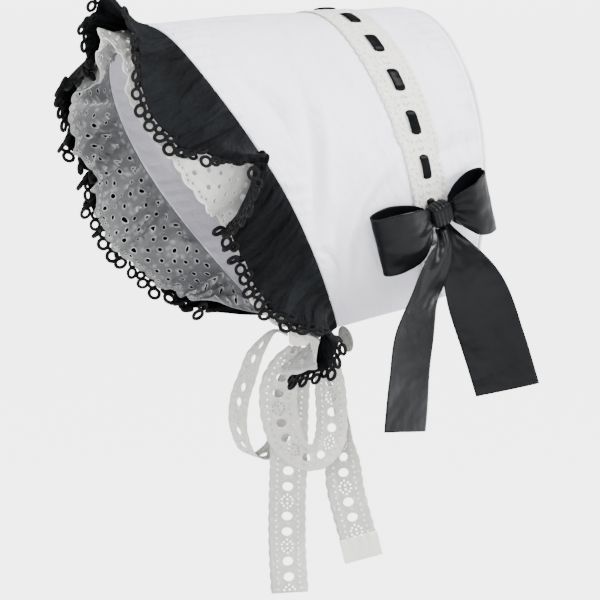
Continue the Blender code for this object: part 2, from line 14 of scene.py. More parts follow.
import bmesh
import bpy
import numpy as np
from mathutils import Matrix, Vector
from mathutils.geometry import delaunay_2d_cdt


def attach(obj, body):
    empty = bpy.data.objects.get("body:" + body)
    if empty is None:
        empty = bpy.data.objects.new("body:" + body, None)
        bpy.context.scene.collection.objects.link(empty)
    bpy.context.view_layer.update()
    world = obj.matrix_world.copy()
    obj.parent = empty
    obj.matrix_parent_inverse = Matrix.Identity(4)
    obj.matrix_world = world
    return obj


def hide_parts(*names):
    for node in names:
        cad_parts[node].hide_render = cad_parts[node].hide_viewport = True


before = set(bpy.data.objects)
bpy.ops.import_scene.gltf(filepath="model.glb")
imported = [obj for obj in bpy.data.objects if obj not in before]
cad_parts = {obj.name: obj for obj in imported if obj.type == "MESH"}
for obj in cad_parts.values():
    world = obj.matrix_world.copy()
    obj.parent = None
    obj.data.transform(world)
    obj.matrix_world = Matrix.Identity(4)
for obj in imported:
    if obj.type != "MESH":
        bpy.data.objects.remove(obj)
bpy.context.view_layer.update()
MM = 0.001

# %% [markdown]
# ## Node trees from Python
# A finish is a small formula: a weave is a product of sines, a wash of colour is a mix by a noise. Nodes
# could be wired by hand, but a formula reads better as one. So an output of a node is wrapped in a class that
# knows plus, minus and times, and everything else comes from one method that adds a node of any type.


# %% Values and trees
class Value:
    """A node's output as a number in a formula: each operator adds a Math node."""

    def __init__(self, tree, socket):
        self.tree, self.socket = tree, socket

    def output(self, name):
        """Another output of the same node."""
        return Value(self.tree, self.socket.node.outputs[name])

    def math(self, operation, first, second=0.0):
        return self.tree.node("ShaderNodeMath", {"operation": operation}, {0: first, 1: second})

    def __add__(self, other):
        return self.math("ADD", self, other)

    def __sub__(self, other):
        return self.math("SUBTRACT", self, other)

    def __rsub__(self, other):
        return self.math("SUBTRACT", other, self)

    def __mul__(self, other):
        return self.math("MULTIPLY", self, other)

    def __pow__(self, other):
        return self.math("POWER", self, other)

    def sine(self):
        return self.math("SINE", self)

    __radd__, __rmul__ = __add__, __mul__


class Tree:
    """A node tree that is built by calls."""

    def __init__(self, nodes):
        self.nodes = nodes

    def node(self, kind, settings=None, values=None, output=0):
        """Adds a node, sets its settings and then its inputs, and gives back one of its outputs."""
        made = self.nodes.nodes.new(kind)
        for name, setting in (settings or {}).items():
            if name == "stops":
                for place, colour in setting[2:]:
                    made.color_ramp.elements.new(place)
                for element, (place, colour) in zip(made.color_ramp.elements, setting):
                    element.position, element.color = place, colour
            else:
                setattr(made, name, setting)
        for name, value in (values or {}).items():
            if isinstance(value, Value):
                self.nodes.links.new(value.socket, made.inputs[name])
            else:
                made.inputs[name].default_value = value
        return Value(self, made.outputs[output]) if made.outputs else made

    def feed(self, value, shader, name):
        """Links a value to a named input of the shader."""
        self.nodes.links.new(value.socket, shader.inputs[name])


# %% [markdown]
# ## Finishes
# Each cloth carries a map named `cloth` that gives every point its place on the flat cloth in metres, so
# threads run with the cloth through every fold. The weave, the crimp and the thread are bumps: they are finer
# than any mesh. Slow changes of colour keep a large plain panel from looking like plastic. In cotton they
# partly follow the creases, as painted shade in their hollows and painted light on their ridges.


# %% Cloth coordinates, weave and finish
def new_finish(name, colour, roughness, **fixed):
    """A material with its shader's plain values set, and the tree and shader to go on with."""
    made = bpy.data.materials.new(name)
    made.use_nodes = True
    made.diffuse_color = (*colour, 1)
    shader = made.node_tree.nodes["Principled BSDF"]
    shader.inputs["Base Color"].default_value = (*colour, 1)
    shader.inputs["Roughness"].default_value = roughness
    for socket, value in fixed.items():
        shader.inputs[socket.replace("_", " ")].default_value = value
    return made, Tree(made.node_tree), shader


def cloth_map(tree):
    """The place on the flat cloth: along it and across it, in metres."""
    flat = tree.node("ShaderNodeUVMap", {"uv_map": "cloth"})
    parts = tree.node("ShaderNodeSeparateXYZ", values={0: flat})
    return flat, parts.output("X"), parts.output("Y")


def plain_weave(along, across, pitch):
    """The height of a plain weave, 0 to 1, whose threads lie a pitch apart."""
    turn = 2 * math.pi / pitch
    return (along * turn).sine() * (across * turn).sine() * 0.5 + 0.5


def grain(tree, where, scale, detail=3.0):
    """Noise at a number of grains a metre."""
    return tree.node("ShaderNodeTexNoise", values={
        "Vector": where, "Scale": scale, "Detail": detail, "Roughness": 0.55})


def blend(tree, mask, dark, light):
    """A colour between two colours by a mask."""
    stops = [(0.3, (*dark, 1)), (0.7, (*light, 1))]
    return tree.node("ShaderNodeValToRGB", {"stops": stops}, {"Fac": mask})


def wash(tree, shader, mask, dark, light, target="Base Color"):
    """Colours the surface between two colours by a mask."""
    tree.feed(blend(tree, mask, dark, light), shader, target)


def relief(tree, shader, *layers):
    """Bumps on the surface: each layer is a height, and how far a height of 1 stands out in metres."""
    below = None
    for height, distance in layers:
        values = {"Height": height, "Distance": distance, "Strength": 1.0}
        if below:
            values["Normal"] = below
        below = tree.node("ShaderNodeBump", values=values)
    tree.feed(below, shader, "Normal")


# %% The bonnet's finishes
WEAVE_DEPTH = 0.12 * MM


def cotton(name, dark, light, pitch, creasing, drawn=(32, 32), roughness=0.85, **fixed):
    """Plain woven cotton with a slightly rumpled hand.

    pitch is the distance between threads and creasing the depth of a crease, both in metres. drawn gives the
    number of creases a metre along and across the cloth.
    """
    made, tree, shader = new_finish(name, light, roughness, **fixed)
    flat, along, across = cloth_map(tree)
    wander = grain(tree, flat, 18, 2) * 0.02
    where = tree.node("ShaderNodeCombineXYZ", values={
        "X": (along + wander) * drawn[0], "Y": (across + wander) * drawn[1]})
    rumple = grain(tree, where, 1, 4)
    # Three fifths of the colour follow the crease noise. That part is painted shade, darker in the crease
    # hollows and lighter on the ridges. The other two fifths are random tone.
    wash(tree, shader, rumple * 0.6 + grain(tree, flat, 14) * 0.4, dark, light)
    relief(tree, shader, (rumple, creasing), (plain_weave(along, across, pitch), WEAVE_DEPTH))
    return made


def satin(name, dark, light, gloss=0.08):
    """Satin ribbon: long floats along its length give it a soft gloss with fine lengthwise lines."""
    made, tree, shader = new_finish(name, light, 0.34, Specular_IOR_Level=gloss, Anisotropic=0.5)
    flat, along, across = cloth_map(tree)
    drawn = tree.node("ShaderNodeCombineXYZ", values={"X": along * 30, "Y": across * 2400})
    floats = grain(tree, drawn, 1, 2)
    wash(tree, shader, grain(tree, flat, 25), dark, light)
    tree.feed(floats * 0.14 + 0.27, shader, "Roughness")
    relief(tree, shader, (grain(tree, flat, 34, 2), 3.4 * MM), (floats, 0.06 * MM))
    return made


def lace_thread(name, dark, light, flower, shade_colours=None):
    """Cotton lace: a matt ground of fine crossed threads with raised embroidery in round petals.

    flower is the size of a petal. Where a dark cloth lies close behind the lace, a point attribute goes up to 1
    and the lace takes two darker colours there. This is painted shade, for the shadow between the layers and
    the dark cloth seen through the lace.
    """
    made, tree, shader = new_finish(name, light, 0.9, Sheen_Weight=0.1)
    flat, along, across = cloth_map(tree)
    petals = tree.node("ShaderNodeTexVoronoi", {"feature": "SMOOTH_F1"}, {
        "Vector": flat, "Scale": 1 / flower, "Smoothness": 0.3, "Randomness": 0.8})
    raised = (1 - petals) ** 2.0
    threads = plain_weave(along, across, 0.9 * MM)
    corded = tree.node("ShaderNodeAttribute", {"attribute_name": "rim"}, output="Fac")
    pattern = raised * 0.45 + grain(tree, flat, 400, 2) * 0.35 + corded * 0.55
    colour = blend(tree, pattern, dark, light)
    # Painted shade: where the dark cloth lies close behind, the lace is mixed towards two darker colours, for
    # the shadow between the layers and the black seen through the lace.
    if shade_colours:
        near = tree.node("ShaderNodeAttribute", {"attribute_name": "backing"}, output="Fac")
        colour = tree.node("ShaderNodeMix", {"data_type": "RGBA"}, {
            0: near, 6: colour, 7: blend(tree, pattern, *shade_colours)}, output=2)
    tree.feed(colour, shader, "Base Color")
    relief(tree, shader, (raised + corded, 0.7 * MM), (threads, 0.25 * MM))
    return made


def shades(colour, dark, light):
    """Two shades of a colour, for a wash between them."""
    return [part * dark for part in colour], [part * light for part in colour]


def crochet_thread(name, colour):
    """Twisted crochet thread, with a fine fuzz."""
    made, tree, shader = new_finish(name, colour, 0.75, Specular_IOR_Level=0.1)
    place = tree.node("ShaderNodeTexCoord", output="Object")
    twist = tree.node("ShaderNodeTexWave", {"bands_direction": "DIAGONAL"}, {
        "Vector": place, "Scale": 420.0, "Distortion": 3.0, "Detail": 1.0})
    wash(tree, shader, grain(tree, place, 900, 2), *shades(colour, 0.7, 1.6))
    relief(tree, shader, (twist.output("Fac"), 0.3 * MM))
    return made


def moulded_plastic(name, colour):
    """Slightly glossy moulded plastic with a fine grain and a little dirt in it."""
    made, tree, shader = new_finish(name, colour, 0.45)
    place = tree.node("ShaderNodeTexCoord", output="Object")
    wash(tree, shader, grain(tree, place, 300), *shades(colour, 0.75, 1.2))
    relief(tree, shader, (grain(tree, place, 2500, 2), 0.1 * MM))
    return made


white_cotton = cotton(
    "white_cotton", (0.77, 0.765, 0.86), (0.85, 0.845, 0.93), 0.7 * MM, 6 * MM, (20, 28), Sheen_Weight=0.1)
# Painted shade: the inside of the crown is the same white cotton, painted much darker for the shaded inside of
# the hat.
shaded_lining_cotton = cotton(
    "shaded_lining_cotton", (0.38, 0.375, 0.42), (0.47, 0.465, 0.51), 0.7 * MM, 4 * MM, (24, 18))
black_cotton = cotton(
    "black_cotton", (0.0008, 0.0010, 0.0013), (0.0066, 0.0075, 0.0086), 0.8 * MM, 11 * MM, (60, 22), 0.75,
    Specular_IOR_Level=0.05)
cream_cotton = cotton("cream_cotton", (0.78, 0.77, 0.68), (0.84, 0.83, 0.76), 0.8 * MM, 0.8 * MM)
# The eyelet lace's second pair of colours is painted shade, used where the black cloth lies close behind it.
eyelet_lace = lace_thread(
    "eyelet_lace", (0.70, 0.70, 0.67), (0.84, 0.84, 0.82), 6 * MM,
    shade_colours=((0.13, 0.133, 0.137), (0.46, 0.465, 0.465)))
band_lace = lace_thread("band_lace", (0.70, 0.69, 0.64), (0.88, 0.88, 0.84), 4.5 * MM)
# Painted shade: the ties' lace is a darker copy of the band's lace, for the ties that hang below the hat.
shaded_tie_lace = lace_thread("shaded_tie_lace", (0.54, 0.535, 0.50), (0.78, 0.78, 0.745), 4.5 * MM)
black_satin = satin("black_satin", (0.0020, 0.0023, 0.0028), (0.0036, 0.0041, 0.0049))
narrow_satin = satin("narrow_satin", (0.0018, 0.0021, 0.0026), (0.0032, 0.0037, 0.0045), 0.03)
black_crochet = crochet_thread("black_crochet", (0.0022, 0.0023, 0.0027))
grey_plastic = moulded_plastic("grey_plastic", (0.15, 0.15, 0.13))
print("finishes:", [made.name for made in bpy.data.materials if made.use_nodes])

# %% [markdown]
# ## The crown's surface
# The crown is one panel between two arches: a tall one round the face, which leans back as it goes down, and
# a steeper one at the nape. A point on it has a place, from -1 at the right foot over the top to 1 at the
# left foot, and a depth, from 0 at the front seam to 1 at the back seam. The same numbers build the solids,
# so every piece that is laid on this surface sits where its solid does. The functions take arrays, because a
# fine cloth has many points.

# %% The crown's surface
Arch = namedtuple("Arch", "half_width widest_drop depth foot_half_width front top lean lean_radius")
FACE_ARCH = Arch(95 * MM, 118 * MM, 232 * MM, 52 * MM, -150 * MM, -5.5 * MM, 0.74, 45 * MM)
NAPE_ARCH = Arch(94 * MM, 112 * MM, 216 * MM, 64 * MM, 93 * MM, 4 * MM, 0.14, 150 * MM)
FOOT_CURVE = 1.7
CROWN_BULGE = 0.02
WALL = 2.5 * MM
SEAM_GAP = 0.3 * MM
DOWN = np.array([0.0, 0.0, -1.0])


def unit(vectors):
    return vectors / np.linalg.norm(vectors, axis=-1, keepdims=True)


def scaled(vectors, factors):
    """Each vector times its own factor."""
    return vectors * np.asarray(factors)[..., None]


def arch_point(arch, place):
    quarter = math.pi / 2
    lower = arch.depth - arch.widest_drop
    turn = np.abs(place) * (quarter + lower / arch.widest_drop)
    over = np.minimum(turn, quarter)
    below = np.maximum(turn - quarter, 0) * arch.widest_drop / lower
    narrowing = (arch.half_width - arch.foot_half_width) * below ** FOOT_CURVE
    across = arch.half_width * np.sin(over) - narrowing
    drop = arch.widest_drop * (1 - np.cos(over)) + lower * below
    back = arch.front + arch.lean * (np.hypot(drop, arch.lean_radius) - arch.lean_radius)
    return np.stack([np.copysign(across, place), back, arch.top - drop], axis=-1)


def crown_point(place, depth):
    """The crown's outside. place and depth are arrays of one shape."""
    depth = depth + 0 * place
    face, nape = arch_point(FACE_ARCH, place), arch_point(NAPE_ARCH, place)
    point = face + scaled(nape - face, depth)
    centre = point * [0, 1, 0] + DOWN * FACE_ARCH.widest_drop
    return centre + scaled(point - centre, 1 + CROWN_BULGE * 4 * depth * (1 - depth))


def crown_axes(place, depth):
    """Along the arch towards the left foot, out of the cloth, and backwards, at each point."""
    step = 0.002
    along = unit(crown_point(place + step, depth) - crown_point(place - step, depth))
    back = crown_point(place, depth + step) - crown_point(place, depth - step)
    outward = unit(np.cross(along, back))
    return along, outward, np.cross(outward, along)


def lengths_along(points):
    """The distance from the first point to each point, along the line through them."""
    return np.concatenate([[0], np.cumsum(np.linalg.norm(np.diff(points, axis=0), axis=1))])


top_arc = lengths_along(crown_point(np.linspace(-1, 1, 400), np.full(400, 0.5)))[-1]
print("crown: %.0f mm from foot to foot over the top" % (top_arc / MM))

# %% [markdown]
# ## Laying cloth on a surface
# A sheet of cloth is a grid of points that a function places, with its flat coordinates kept as a map and a
# wall from the Solidify modifier. A `rim` weight thickens hems and the corded edges of holes. Solidify keeps
# the mesh closed, so the cloth is a solid like any other.

# %% Sheets of cloth
pieces = []


def add_object(name, data):
    """A new object in the scene."""
    item = bpy.data.objects.new(name, data)
    bpy.context.scene.collection.objects.link(item)
    return item


def finish_piece(name, data, finish, slot, *nodes):
    """Puts a mesh in the scene as a piece of the object, which stands for those nodes."""
    item = add_object(name, data)
    item.data.materials.clear()
    item.data.materials.append(finish)
    data.shade_smooth()
    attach(item, "root")
    if nodes:
        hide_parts(*nodes)
    pieces.append(item)
    return item


def thicken(item, wall, offset, rims=None, rim_share=1.0, lining=None):
    """Gives a piece its wall, which is whole where rims are weighted 1 and a share of it elsewhere."""
    modifier = item.modifiers.new("Wall", "SOLIDIFY")
    modifier.thickness = wall
    modifier.offset = offset
    if lining:
        item.data.materials.append(lining)
        modifier.material_offset = 1
    if rims is not None:
        group = item.vertex_groups.new(name="rim")
        for index, weight in enumerate(rims):
            if weight > 0:
                group.add([index], float(weight), "REPLACE")
        modifier.vertex_group = "rim"
        modifier.thickness_vertex_group = rim_share
    return item


def grid_mesh(name, us, vs, surface, flat_us, flat_vs):
    """A quad mesh with a point at surface(u, v) for every u and v, and its flat coordinates."""
    u, v = (part.ravel() for part in np.meshgrid(us, vs, indexing="ij"))
    points = surface(u, v)
    corner = np.arange(len(us) * len(vs)).reshape(len(us), len(vs))
    faces = np.stack([corner[:-1, :-1], corner[1:, :-1], corner[1:, 1:], corner[:-1, 1:]], axis=-1)
    faces = faces.reshape(-1, 4)
    data = bpy.data.meshes.new(name)
    data.from_pydata(points.tolist(), [], faces.tolist())
    flat = np.stack([part.ravel() for part in np.meshgrid(flat_us, flat_vs, indexing="ij")], axis=-1)
    add_flat_map(data, flat)
    return data


def add_flat_map(data, flat):
    """Stores each point's place on the flat cloth as the map that the finishes read."""
    layer = data.uv_layers.new(name="cloth")
    corners = np.empty(len(data.loops), dtype=np.int32)
    data.loops.foreach_get("vertex_index", corners)
    layer.data.foreach_set("uv", np.asarray(flat)[corners].ravel())


def grid_piece(name, node, us, vs, surface, flat_us, flat_vs, finish, slot):
    """A piece of plain cloth that stands for a node: a grid laid on a surface."""
    return finish_piece(name, grid_mesh(name, us, vs, surface, flat_us, flat_vs), finish, slot, node)


def close_seams(data, distance):
    """Joins the points that meet where a grid closes on itself, and turns its faces outwards."""
    closed = bmesh.new()
    closed.from_mesh(data)
    bmesh.ops.remove_doubles(closed, verts=closed.verts, dist=distance)
    bmesh.ops.recalc_face_normals(closed, faces=closed.faces)
    closed.to_mesh(data)
    closed.free()


# %% [markdown]
# ## The crown
# The crown panel is plain white cotton over a firm lining, eased into the two seams, so it has short puckers
# along both of them and a few long soft creases where the bonnet has been folded. A cloth simulation would
# find folds of its own; the creases here are placed where the photograph shows them, each as a long low ridge
# or valley between two ends, bent a little on its way.

# %% Puckers and creases of the crown
Crease = namedtuple("Crease", "place depth end_place end_depth bend width height")
CREASES = [
    Crease(0.54, 0.60, 0.77, 0.14, -9 * MM, 5.5 * MM, -4.8 * MM),
    Crease(0.58, 0.60, 0.80, 0.18, -9 * MM, 5.5 * MM, 3.2 * MM),
    Crease(0.40, 0.31, 0.74, 0.05, 5 * MM, 5.5 * MM, -4.4 * MM),
    Crease(0.43, 0.36, 0.70, 0.12, 5 * MM, 6 * MM, 3.0 * MM),
    Crease(0.64, 0.53, 0.72, 0.34, 0, 5 * MM, -3.2 * MM),
    Crease(0.34, 0.12, 0.49, 0.16, 6 * MM, 9 * MM, -4.0 * MM),
    Crease(0.74, 0.20, 0.97, 0.03, 0, 6 * MM, -3.2 * MM),
    Crease(0.77, 0.27, 0.95, 0.12, 3 * MM, 7 * MM, -3.0 * MM),
    Crease(0.79, 0.05, 0.85, 0.16, 0, 4 * MM, -2.8 * MM),
    Crease(0.52, 0.81, 0.49, 1.00, 3 * MM, 4 * MM, -4.0 * MM),
    Crease(0.56, 0.78, 0.53, 0.94, 0, 4 * MM, 3.0 * MM),
    Crease(0.62, 0.75, 0.58, 0.99, 3 * MM, 5 * MM, -4.4 * MM),
    Crease(0.67, 0.76, 0.63, 0.93, 0, 5 * MM, 3.6 * MM),
    Crease(0.10, 0.83, 0.24, 0.94, 0, 3.5 * MM, -2.2 * MM),
    Crease(0.18, 0.80, 0.33, 0.92, 2 * MM, 3.5 * MM, -2.2 * MM),
    Crease(0.62, 0.00, 0.62, 0.12, 0, 3 * MM, 2.8 * MM),
    Crease(-0.35, 0.30, -0.60, 0.12, 8 * MM, 6 * MM, -4.4 * MM),
    Crease(-0.42, 0.60, -0.75, 0.20, -9 * MM, 6 * MM, 4.0 * MM),
    Crease(-0.55, 0.76, -0.50, 0.98, 3 * MM, 5 * MM, -4.0 * MM),
    Crease(-0.80, 0.70, -0.93, 0.30, 5 * MM, 7 * MM, -3.2 * MM),
    Crease(-0.12, 0.78, -0.30, 0.93, 2 * MM, 4 * MM, -2.6 * MM),
    Crease(0.02, 0.10, 0.06, 0.34, 4 * MM, 8 * MM, -2.4 * MM),
]
CROWN_LENGTH = 243 * MM
PUCKER_REACH = 18 * MM
PUCKER_PITCH, FINE_PUCKER_PITCH = 11 * MM, 6.7 * MM
FRONT_PUCKER, BACK_PUCKER = 1.0 * MM, 0.9 * MM
PUCKER_EASE, SEAM_EASE = 4 * MM, 6 * MM
SWELL = 1.3 * MM


def on_panel(place, depth):
    """A point on the flat crown panel, in metres."""
    return np.array([place * top_arc / 2, depth * CROWN_LENGTH])


def crown_relief(place, depth):
    """How far the cloth stands off the crown's plain surface."""
    arc, run = place * top_arc / 2, depth * CROWN_LENGTH
    height = np.zeros_like(arc)
    for crease in CREASES:
        start = on_panel(crease.place, crease.depth)
        way = on_panel(crease.end_place, crease.end_depth) - start
        length = np.linalg.norm(way)
        way /= length
        share = ((arc - start[0]) * way[0] + (run - start[1]) * way[1]) / length * 2 - 1
        across = (run - start[1]) * way[0] - (arc - start[0]) * way[1]
        across = across - crease.bend * (1 - share ** 2)
        height += crease.height * np.exp(-0.9 * share ** 4 - (across / crease.width) ** 2)
    warp = 3 * np.sin(arc / (41 * MM)) + 2 * np.sin(arc / (17 * MM))
    puckers = np.sin(arc * 2 * math.pi / PUCKER_PITCH + warp)
    puckers = puckers + 0.6 * np.sin(arc * 2 * math.pi / FINE_PUCKER_PITCH - warp)
    for away, strength in ((run, FRONT_PUCKER), (CROWN_LENGTH - run, BACK_PUCKER)):
        near = np.exp(-away / PUCKER_REACH) * np.minimum(np.abs(away) / PUCKER_EASE, 1)
        height += strength * puckers * near
    swell = SWELL * np.sin(arc / (33 * MM) + 2 * np.sin(run / (60 * MM))) * np.sin(run / (48 * MM))
    ends = np.clip(run / SEAM_EASE, 0, 1) * np.clip((CROWN_LENGTH - run) / SEAM_EASE, 0, 1)
    return (height + swell) * ends


def crown_cloth(place, depth, lift=0.0):
    """The crown's cloth, or a point that lies a lift above it."""
    outward = crown_axes(place, depth)[1]
    return crown_point(place, depth) + scaled(outward, crown_relief(place, depth) + lift)


# %% The crown's cloth
CROWN_COLUMNS, CROWN_ROWS = 260, 96
us, vs = np.linspace(-1, 1, CROWN_COLUMNS + 1), np.linspace(0, 1, CROWN_ROWS + 1)
crown = grid_piece("crown_cloth", "side_crown", us, vs, crown_cloth, us * top_arc / 2, vs * CROWN_LENGTH,
                   white_cotton, "white_cotton")
# The inner wall gets the darker lining colour, which is painted shade for the inside of the hat.
thicken(crown, WALL, -1, lining=shaded_lining_cotton)
print("crown cloth:", len(crown.data.polygons), "quads")

# %% [markdown]
# ## The back
# A horseshoe panel closes the back arch and is open at the neck. Its surface is stretched between its four
# edges, which is what a sewn panel does, with a swell behind the head and gathers that fade from the seam.

# %% The back panel
BACK_SWELL = 20 * MM
BACK_CORNER = 0.42
BACK_WIDTH, BACK_HEIGHT = 188 * MM, 200 * MM
BACK_GATHER, BACK_WAVE = 1.1 * MM, 1.5 * MM


def back_rim(place):
    """The back seam, a gap behind the crown's edge."""
    return crown_point(place, np.ones_like(place)) + [0, SEAM_GAP, 0]


def mix(a, b, part):
    return a + scaled(b - a, part)


def back_cloth(across, height):
    """The horseshoe, from its left foot to its right foot across and from the neck to the top in height."""
    one = np.ones_like(across)
    leg = 1 - (1 - BACK_CORNER) * height
    low = mix(back_rim(one), back_rim(-one), across)
    high = back_rim(BACK_CORNER * (1 - 2 * across))
    legs = mix(back_rim(leg), back_rim(-leg), across)
    corners_high = mix(back_rim(BACK_CORNER * one), back_rim(-BACK_CORNER * one), across)
    point = mix(low, high, height) + legs - mix(low, corners_high, height)
    swell = BACK_SWELL * 4 * across * (1 - across) * (1 - height ** 2)
    fan = np.arctan2(across - 0.5, 0.35 + height)
    edge = np.minimum(np.minimum(across, 1 - across) * 2, 1 - height)
    gathers = BACK_GATHER * np.sin(fan * 46 + 2 * np.sin(fan * 9))
    gathers = gathers * np.exp(-edge * 5) * np.minimum(edge * 14, 1)
    soft = BACK_WAVE * np.sin(across * 9 + height * 4) * np.sin(height * 5) * np.minimum(edge * 6, 1)
    return point + scaled(np.array([[0.0, 1.0, 0.0]]), swell + gathers + soft)


us, vs = np.linspace(0, 1, 97), np.linspace(0, 1, 81)
back = grid_piece("back_cloth", "back_panel", us, vs, back_cloth, us * BACK_WIDTH, vs * BACK_HEIGHT,
                  white_cotton, "white_cotton")
thicken(back, WALL, 1)
print("back cloth:", len(back.data.polygons), "quads")

# %% [markdown]
# ## The ruffle's surface
# The ruffle stands off the front seam on straight rulings. A table gives, for places along the rim, how far
# the cloth flares out from the crown's own line and how far it sways towards the left foot, and everything
# between is eased. That gives the large flaps. Smaller gathers ride on them: tight puckers at the seam that
# open into soft waves at the free edge, as they do when a long strip is drawn up on a thread.

# %% The ruffle's surface
RUFFLE_WIDTH = 54 * MM
LACE_WIDTH = 59.5 * MM
RUFFLE_CLOTH = 1.2 * MM
RUFFLE_GAP = 0.6 * MM
RULING_START = 0.35
Fold = namedtuple("Fold", "place flare lace_flare sway")
FOLDS = [
    Fold(-1.00, -7, -13, 38),
    Fold(-0.95, -2, -7, 26),
    Fold(-0.90, -2, -5, 16),
    Fold(-0.83, 5, 2, 6),
    Fold(-0.76, 7, 4, -1),
    Fold(-0.69, 20, 17, -3),
    Fold(-0.62, 5, 2, -3),
    Fold(-0.55, -12, -15, 0),
    Fold(-0.50, -26, -29, 0),
    Fold(-0.44, -17, -21, 3),
    Fold(-0.38, -24, -28, 1),
    Fold(-0.31, -22, -28, 8),
    Fold(-0.25, -27, -32, 8),
    Fold(-0.17, -36, -42, 22),
    Fold(-0.09, -1, -17, 28),
    Fold(0.00, 28, 6, 23),
    Fold(0.05, 29, 5, 20),
    Fold(0.12, 23, 4, 24),
    Fold(0.17, 15, -2, 22),
    Fold(0.25, -4, -15, 8),
    Fold(0.32, -14, -23, 6),
    Fold(0.39, -9, -18, 3),
    Fold(0.45, 2, -14, -5),
    Fold(0.48, 36, -14, -2),
    Fold(0.51, 76, -14, 15),
    Fold(0.565, -30, -39, 27),
    Fold(0.62, -26, -33, 23),
    Fold(0.70, -19, -26, 24),
    Fold(0.78, 4, -9, 12),
    Fold(0.86, 28, 14, -8),
    Fold(0.90, 46, 36, -22),
    Fold(0.94, 64, 55, -36),
    Fold(0.97, 60, 52, -10),
    Fold(1.00, 18, 8, 12),
]


def fold_at(place):
    """The flare, the lace's flare and the sway at each place, eased from each row of the table to the next."""
    table = np.array(FOLDS)
    after = np.clip(np.searchsorted(table[:, 0], place), 1, len(table) - 1)
    start, end = table[after - 1], table[after]
    part = np.clip((place - start[..., 0]) / (end[..., 0] - start[..., 0]), 0, 1)
    eased = start + scaled(end - start, part * part * (3 - 2 * part))
    return np.moveaxis(eased[..., 1:], -1, 0)


CURL_START, CURL_END, CURL_EASE = 0.462, 0.538, 0.02
CURL_REACH, CURL_RADIUS = 40 * MM, 6 * MM


def ruffle_plain(place, reach, lace):
    """The ruffle's outer side without its small gathers.

    The black cloth's edge rolls inwards over the flute.
    """
    along, outward, back = crown_axes(place, 0 * place)
    flare, lace_flare, sway = fold_at(place)
    flare = np.radians(lace_flare if lace else flare)
    flare = flare * (RULING_START + (1 - RULING_START) * np.minimum(reach / RUFFLE_WIDTH, 1))
    inset = RUFFLE_CLOTH + SEAM_GAP if lace else 0
    base = crown_point(place, 0 * place) - outward * inset - back * RUFFLE_GAP
    sway = np.radians(sway)
    level = scaled(along, np.sin(sway)) - scaled(back, np.cos(sway))
    way = scaled(outward, np.sin(flare)) + scaled(level, np.cos(flare))
    if lace:
        return base + scaled(way, reach)
    inward = scaled(level, np.sin(flare)) - scaled(outward, np.cos(flare))
    rise, fall = (np.clip(inside / CURL_EASE, 0, 1) for inside in (place - CURL_START, CURL_END - place))
    rolled = np.maximum(reach - CURL_REACH, 0)
    turn = rolled / CURL_RADIUS * np.minimum(rise, fall) + 1e-9
    ahead, aside = np.sin(turn) / turn * rolled, (1 - np.cos(turn)) / turn * rolled
    return base + scaled(way, reach - rolled + ahead) + scaled(inward, aside)


rim_places = np.linspace(-1.05, 1.05, 1601)
rim_arcs = lengths_along(crown_point(rim_places, 0 * rim_places))
GATHER_PITCH, BLACK_GATHER, LACE_GATHER = 8.5 * MM, 1.4 * MM, 0.8 * MM
BLACK_WAVE_PITCH, BLACK_WAVE, BLACK_SLANT = 25 * MM, 4.6 * MM, 0.5 * MM
LACE_FOLD_PITCH, LACE_FOLD, LACE_FLUTTER = 23 * MM, 12 * MM, 1.1 * MM


def ruffle_cloth(place, reach, lace=False):
    """The ruffle's outer side with its gathers."""
    step = 0.001
    point = ruffle_plain(place, reach, lace)
    along = ruffle_plain(place + step, reach, lace) - ruffle_plain(place - step, reach, lace)
    forward = ruffle_plain(place, reach + MM, lace) - ruffle_plain(place, reach - MM, lace)
    outward = unit(np.cross(forward, along))
    arc = np.interp(place, rim_places, rim_arcs)
    share = reach / RUFFLE_WIDTH
    warp = 1.7 * np.sin(arc / (29 * MM)) + 1.1 * np.sin(arc / (13 * MM) + 2)
    started = np.minimum(share * 9, 1)
    puckers = np.sin(arc * 2 * math.pi / GATHER_PITCH + 1.5 * warp) * np.exp(-share * 2.4) * started
    if lace:
        crease = 1 - np.abs(np.sin(arc * math.pi / LACE_FOLD_PITCH + 1.6 * warp + 2 * share))
        spread = np.minimum(share * 3, 1)
        waves = -LACE_FOLD * spread * crease ** 2 * (1 - 0.85 * share ** 2)
        flutter = LACE_FLUTTER * share ** 2 * (np.sin(arc / (3.4 * MM) + warp) - 1)
        height = waves + flutter + LACE_GATHER * (puckers - 1) * started
    else:
        calm = 1 - 0.75 * np.exp(-((place - 0.02) / 0.09) ** 2)
        fold = 0.5 + 0.5 * np.sin(arc * 2 * math.pi / BLACK_WAVE_PITCH + 1.6 * warp + 1.5 * share)
        waves = BLACK_WAVE * share ** 0.8 * fold ** 1.6 * calm
        slant = BLACK_SLANT * np.sin(arc / (4.2 * MM) + 7 * share + warp)
        slant = slant * np.sin(np.minimum(share, 1) * math.pi)
        height = waves + slant + BLACK_GATHER * (puckers + 0.4 * started)
    return point + scaled(outward, height)


# %% The black ruffle
RUFFLE_COLUMNS = 760
HEM = 4 * MM
us = np.linspace(-1, 1, RUFFLE_COLUMNS + 1)
reaches = np.array([
    54, 52.6, 50.8, 50.2, 47, 43.5, 40, 36, 32, 28, 24, 20, 16.5, 13.5, 11, 8.5, 6.5, 4.5, 3, 1.5, 0]) * MM
edge_line = ruffle_plain(us, np.full_like(us, RUFFLE_WIDTH), False)
ruffle_length = lengths_along(edge_line)
black = grid_piece("black_ruffle_cloth", "black_ruffle", us, reaches, ruffle_cloth, ruffle_length, reaches,
                   black_cotton, "black_cotton")
in_hem = np.tile(reaches > RUFFLE_WIDTH - HEM, len(us)).astype(float)
thicken(black, RUFFLE_CLOTH, -1, in_hem, 0.55)
print("black ruffle: a strip %.0f x %.0f mm" % (RUFFLE_WIDTH / MM, ruffle_length[-1] / MM))

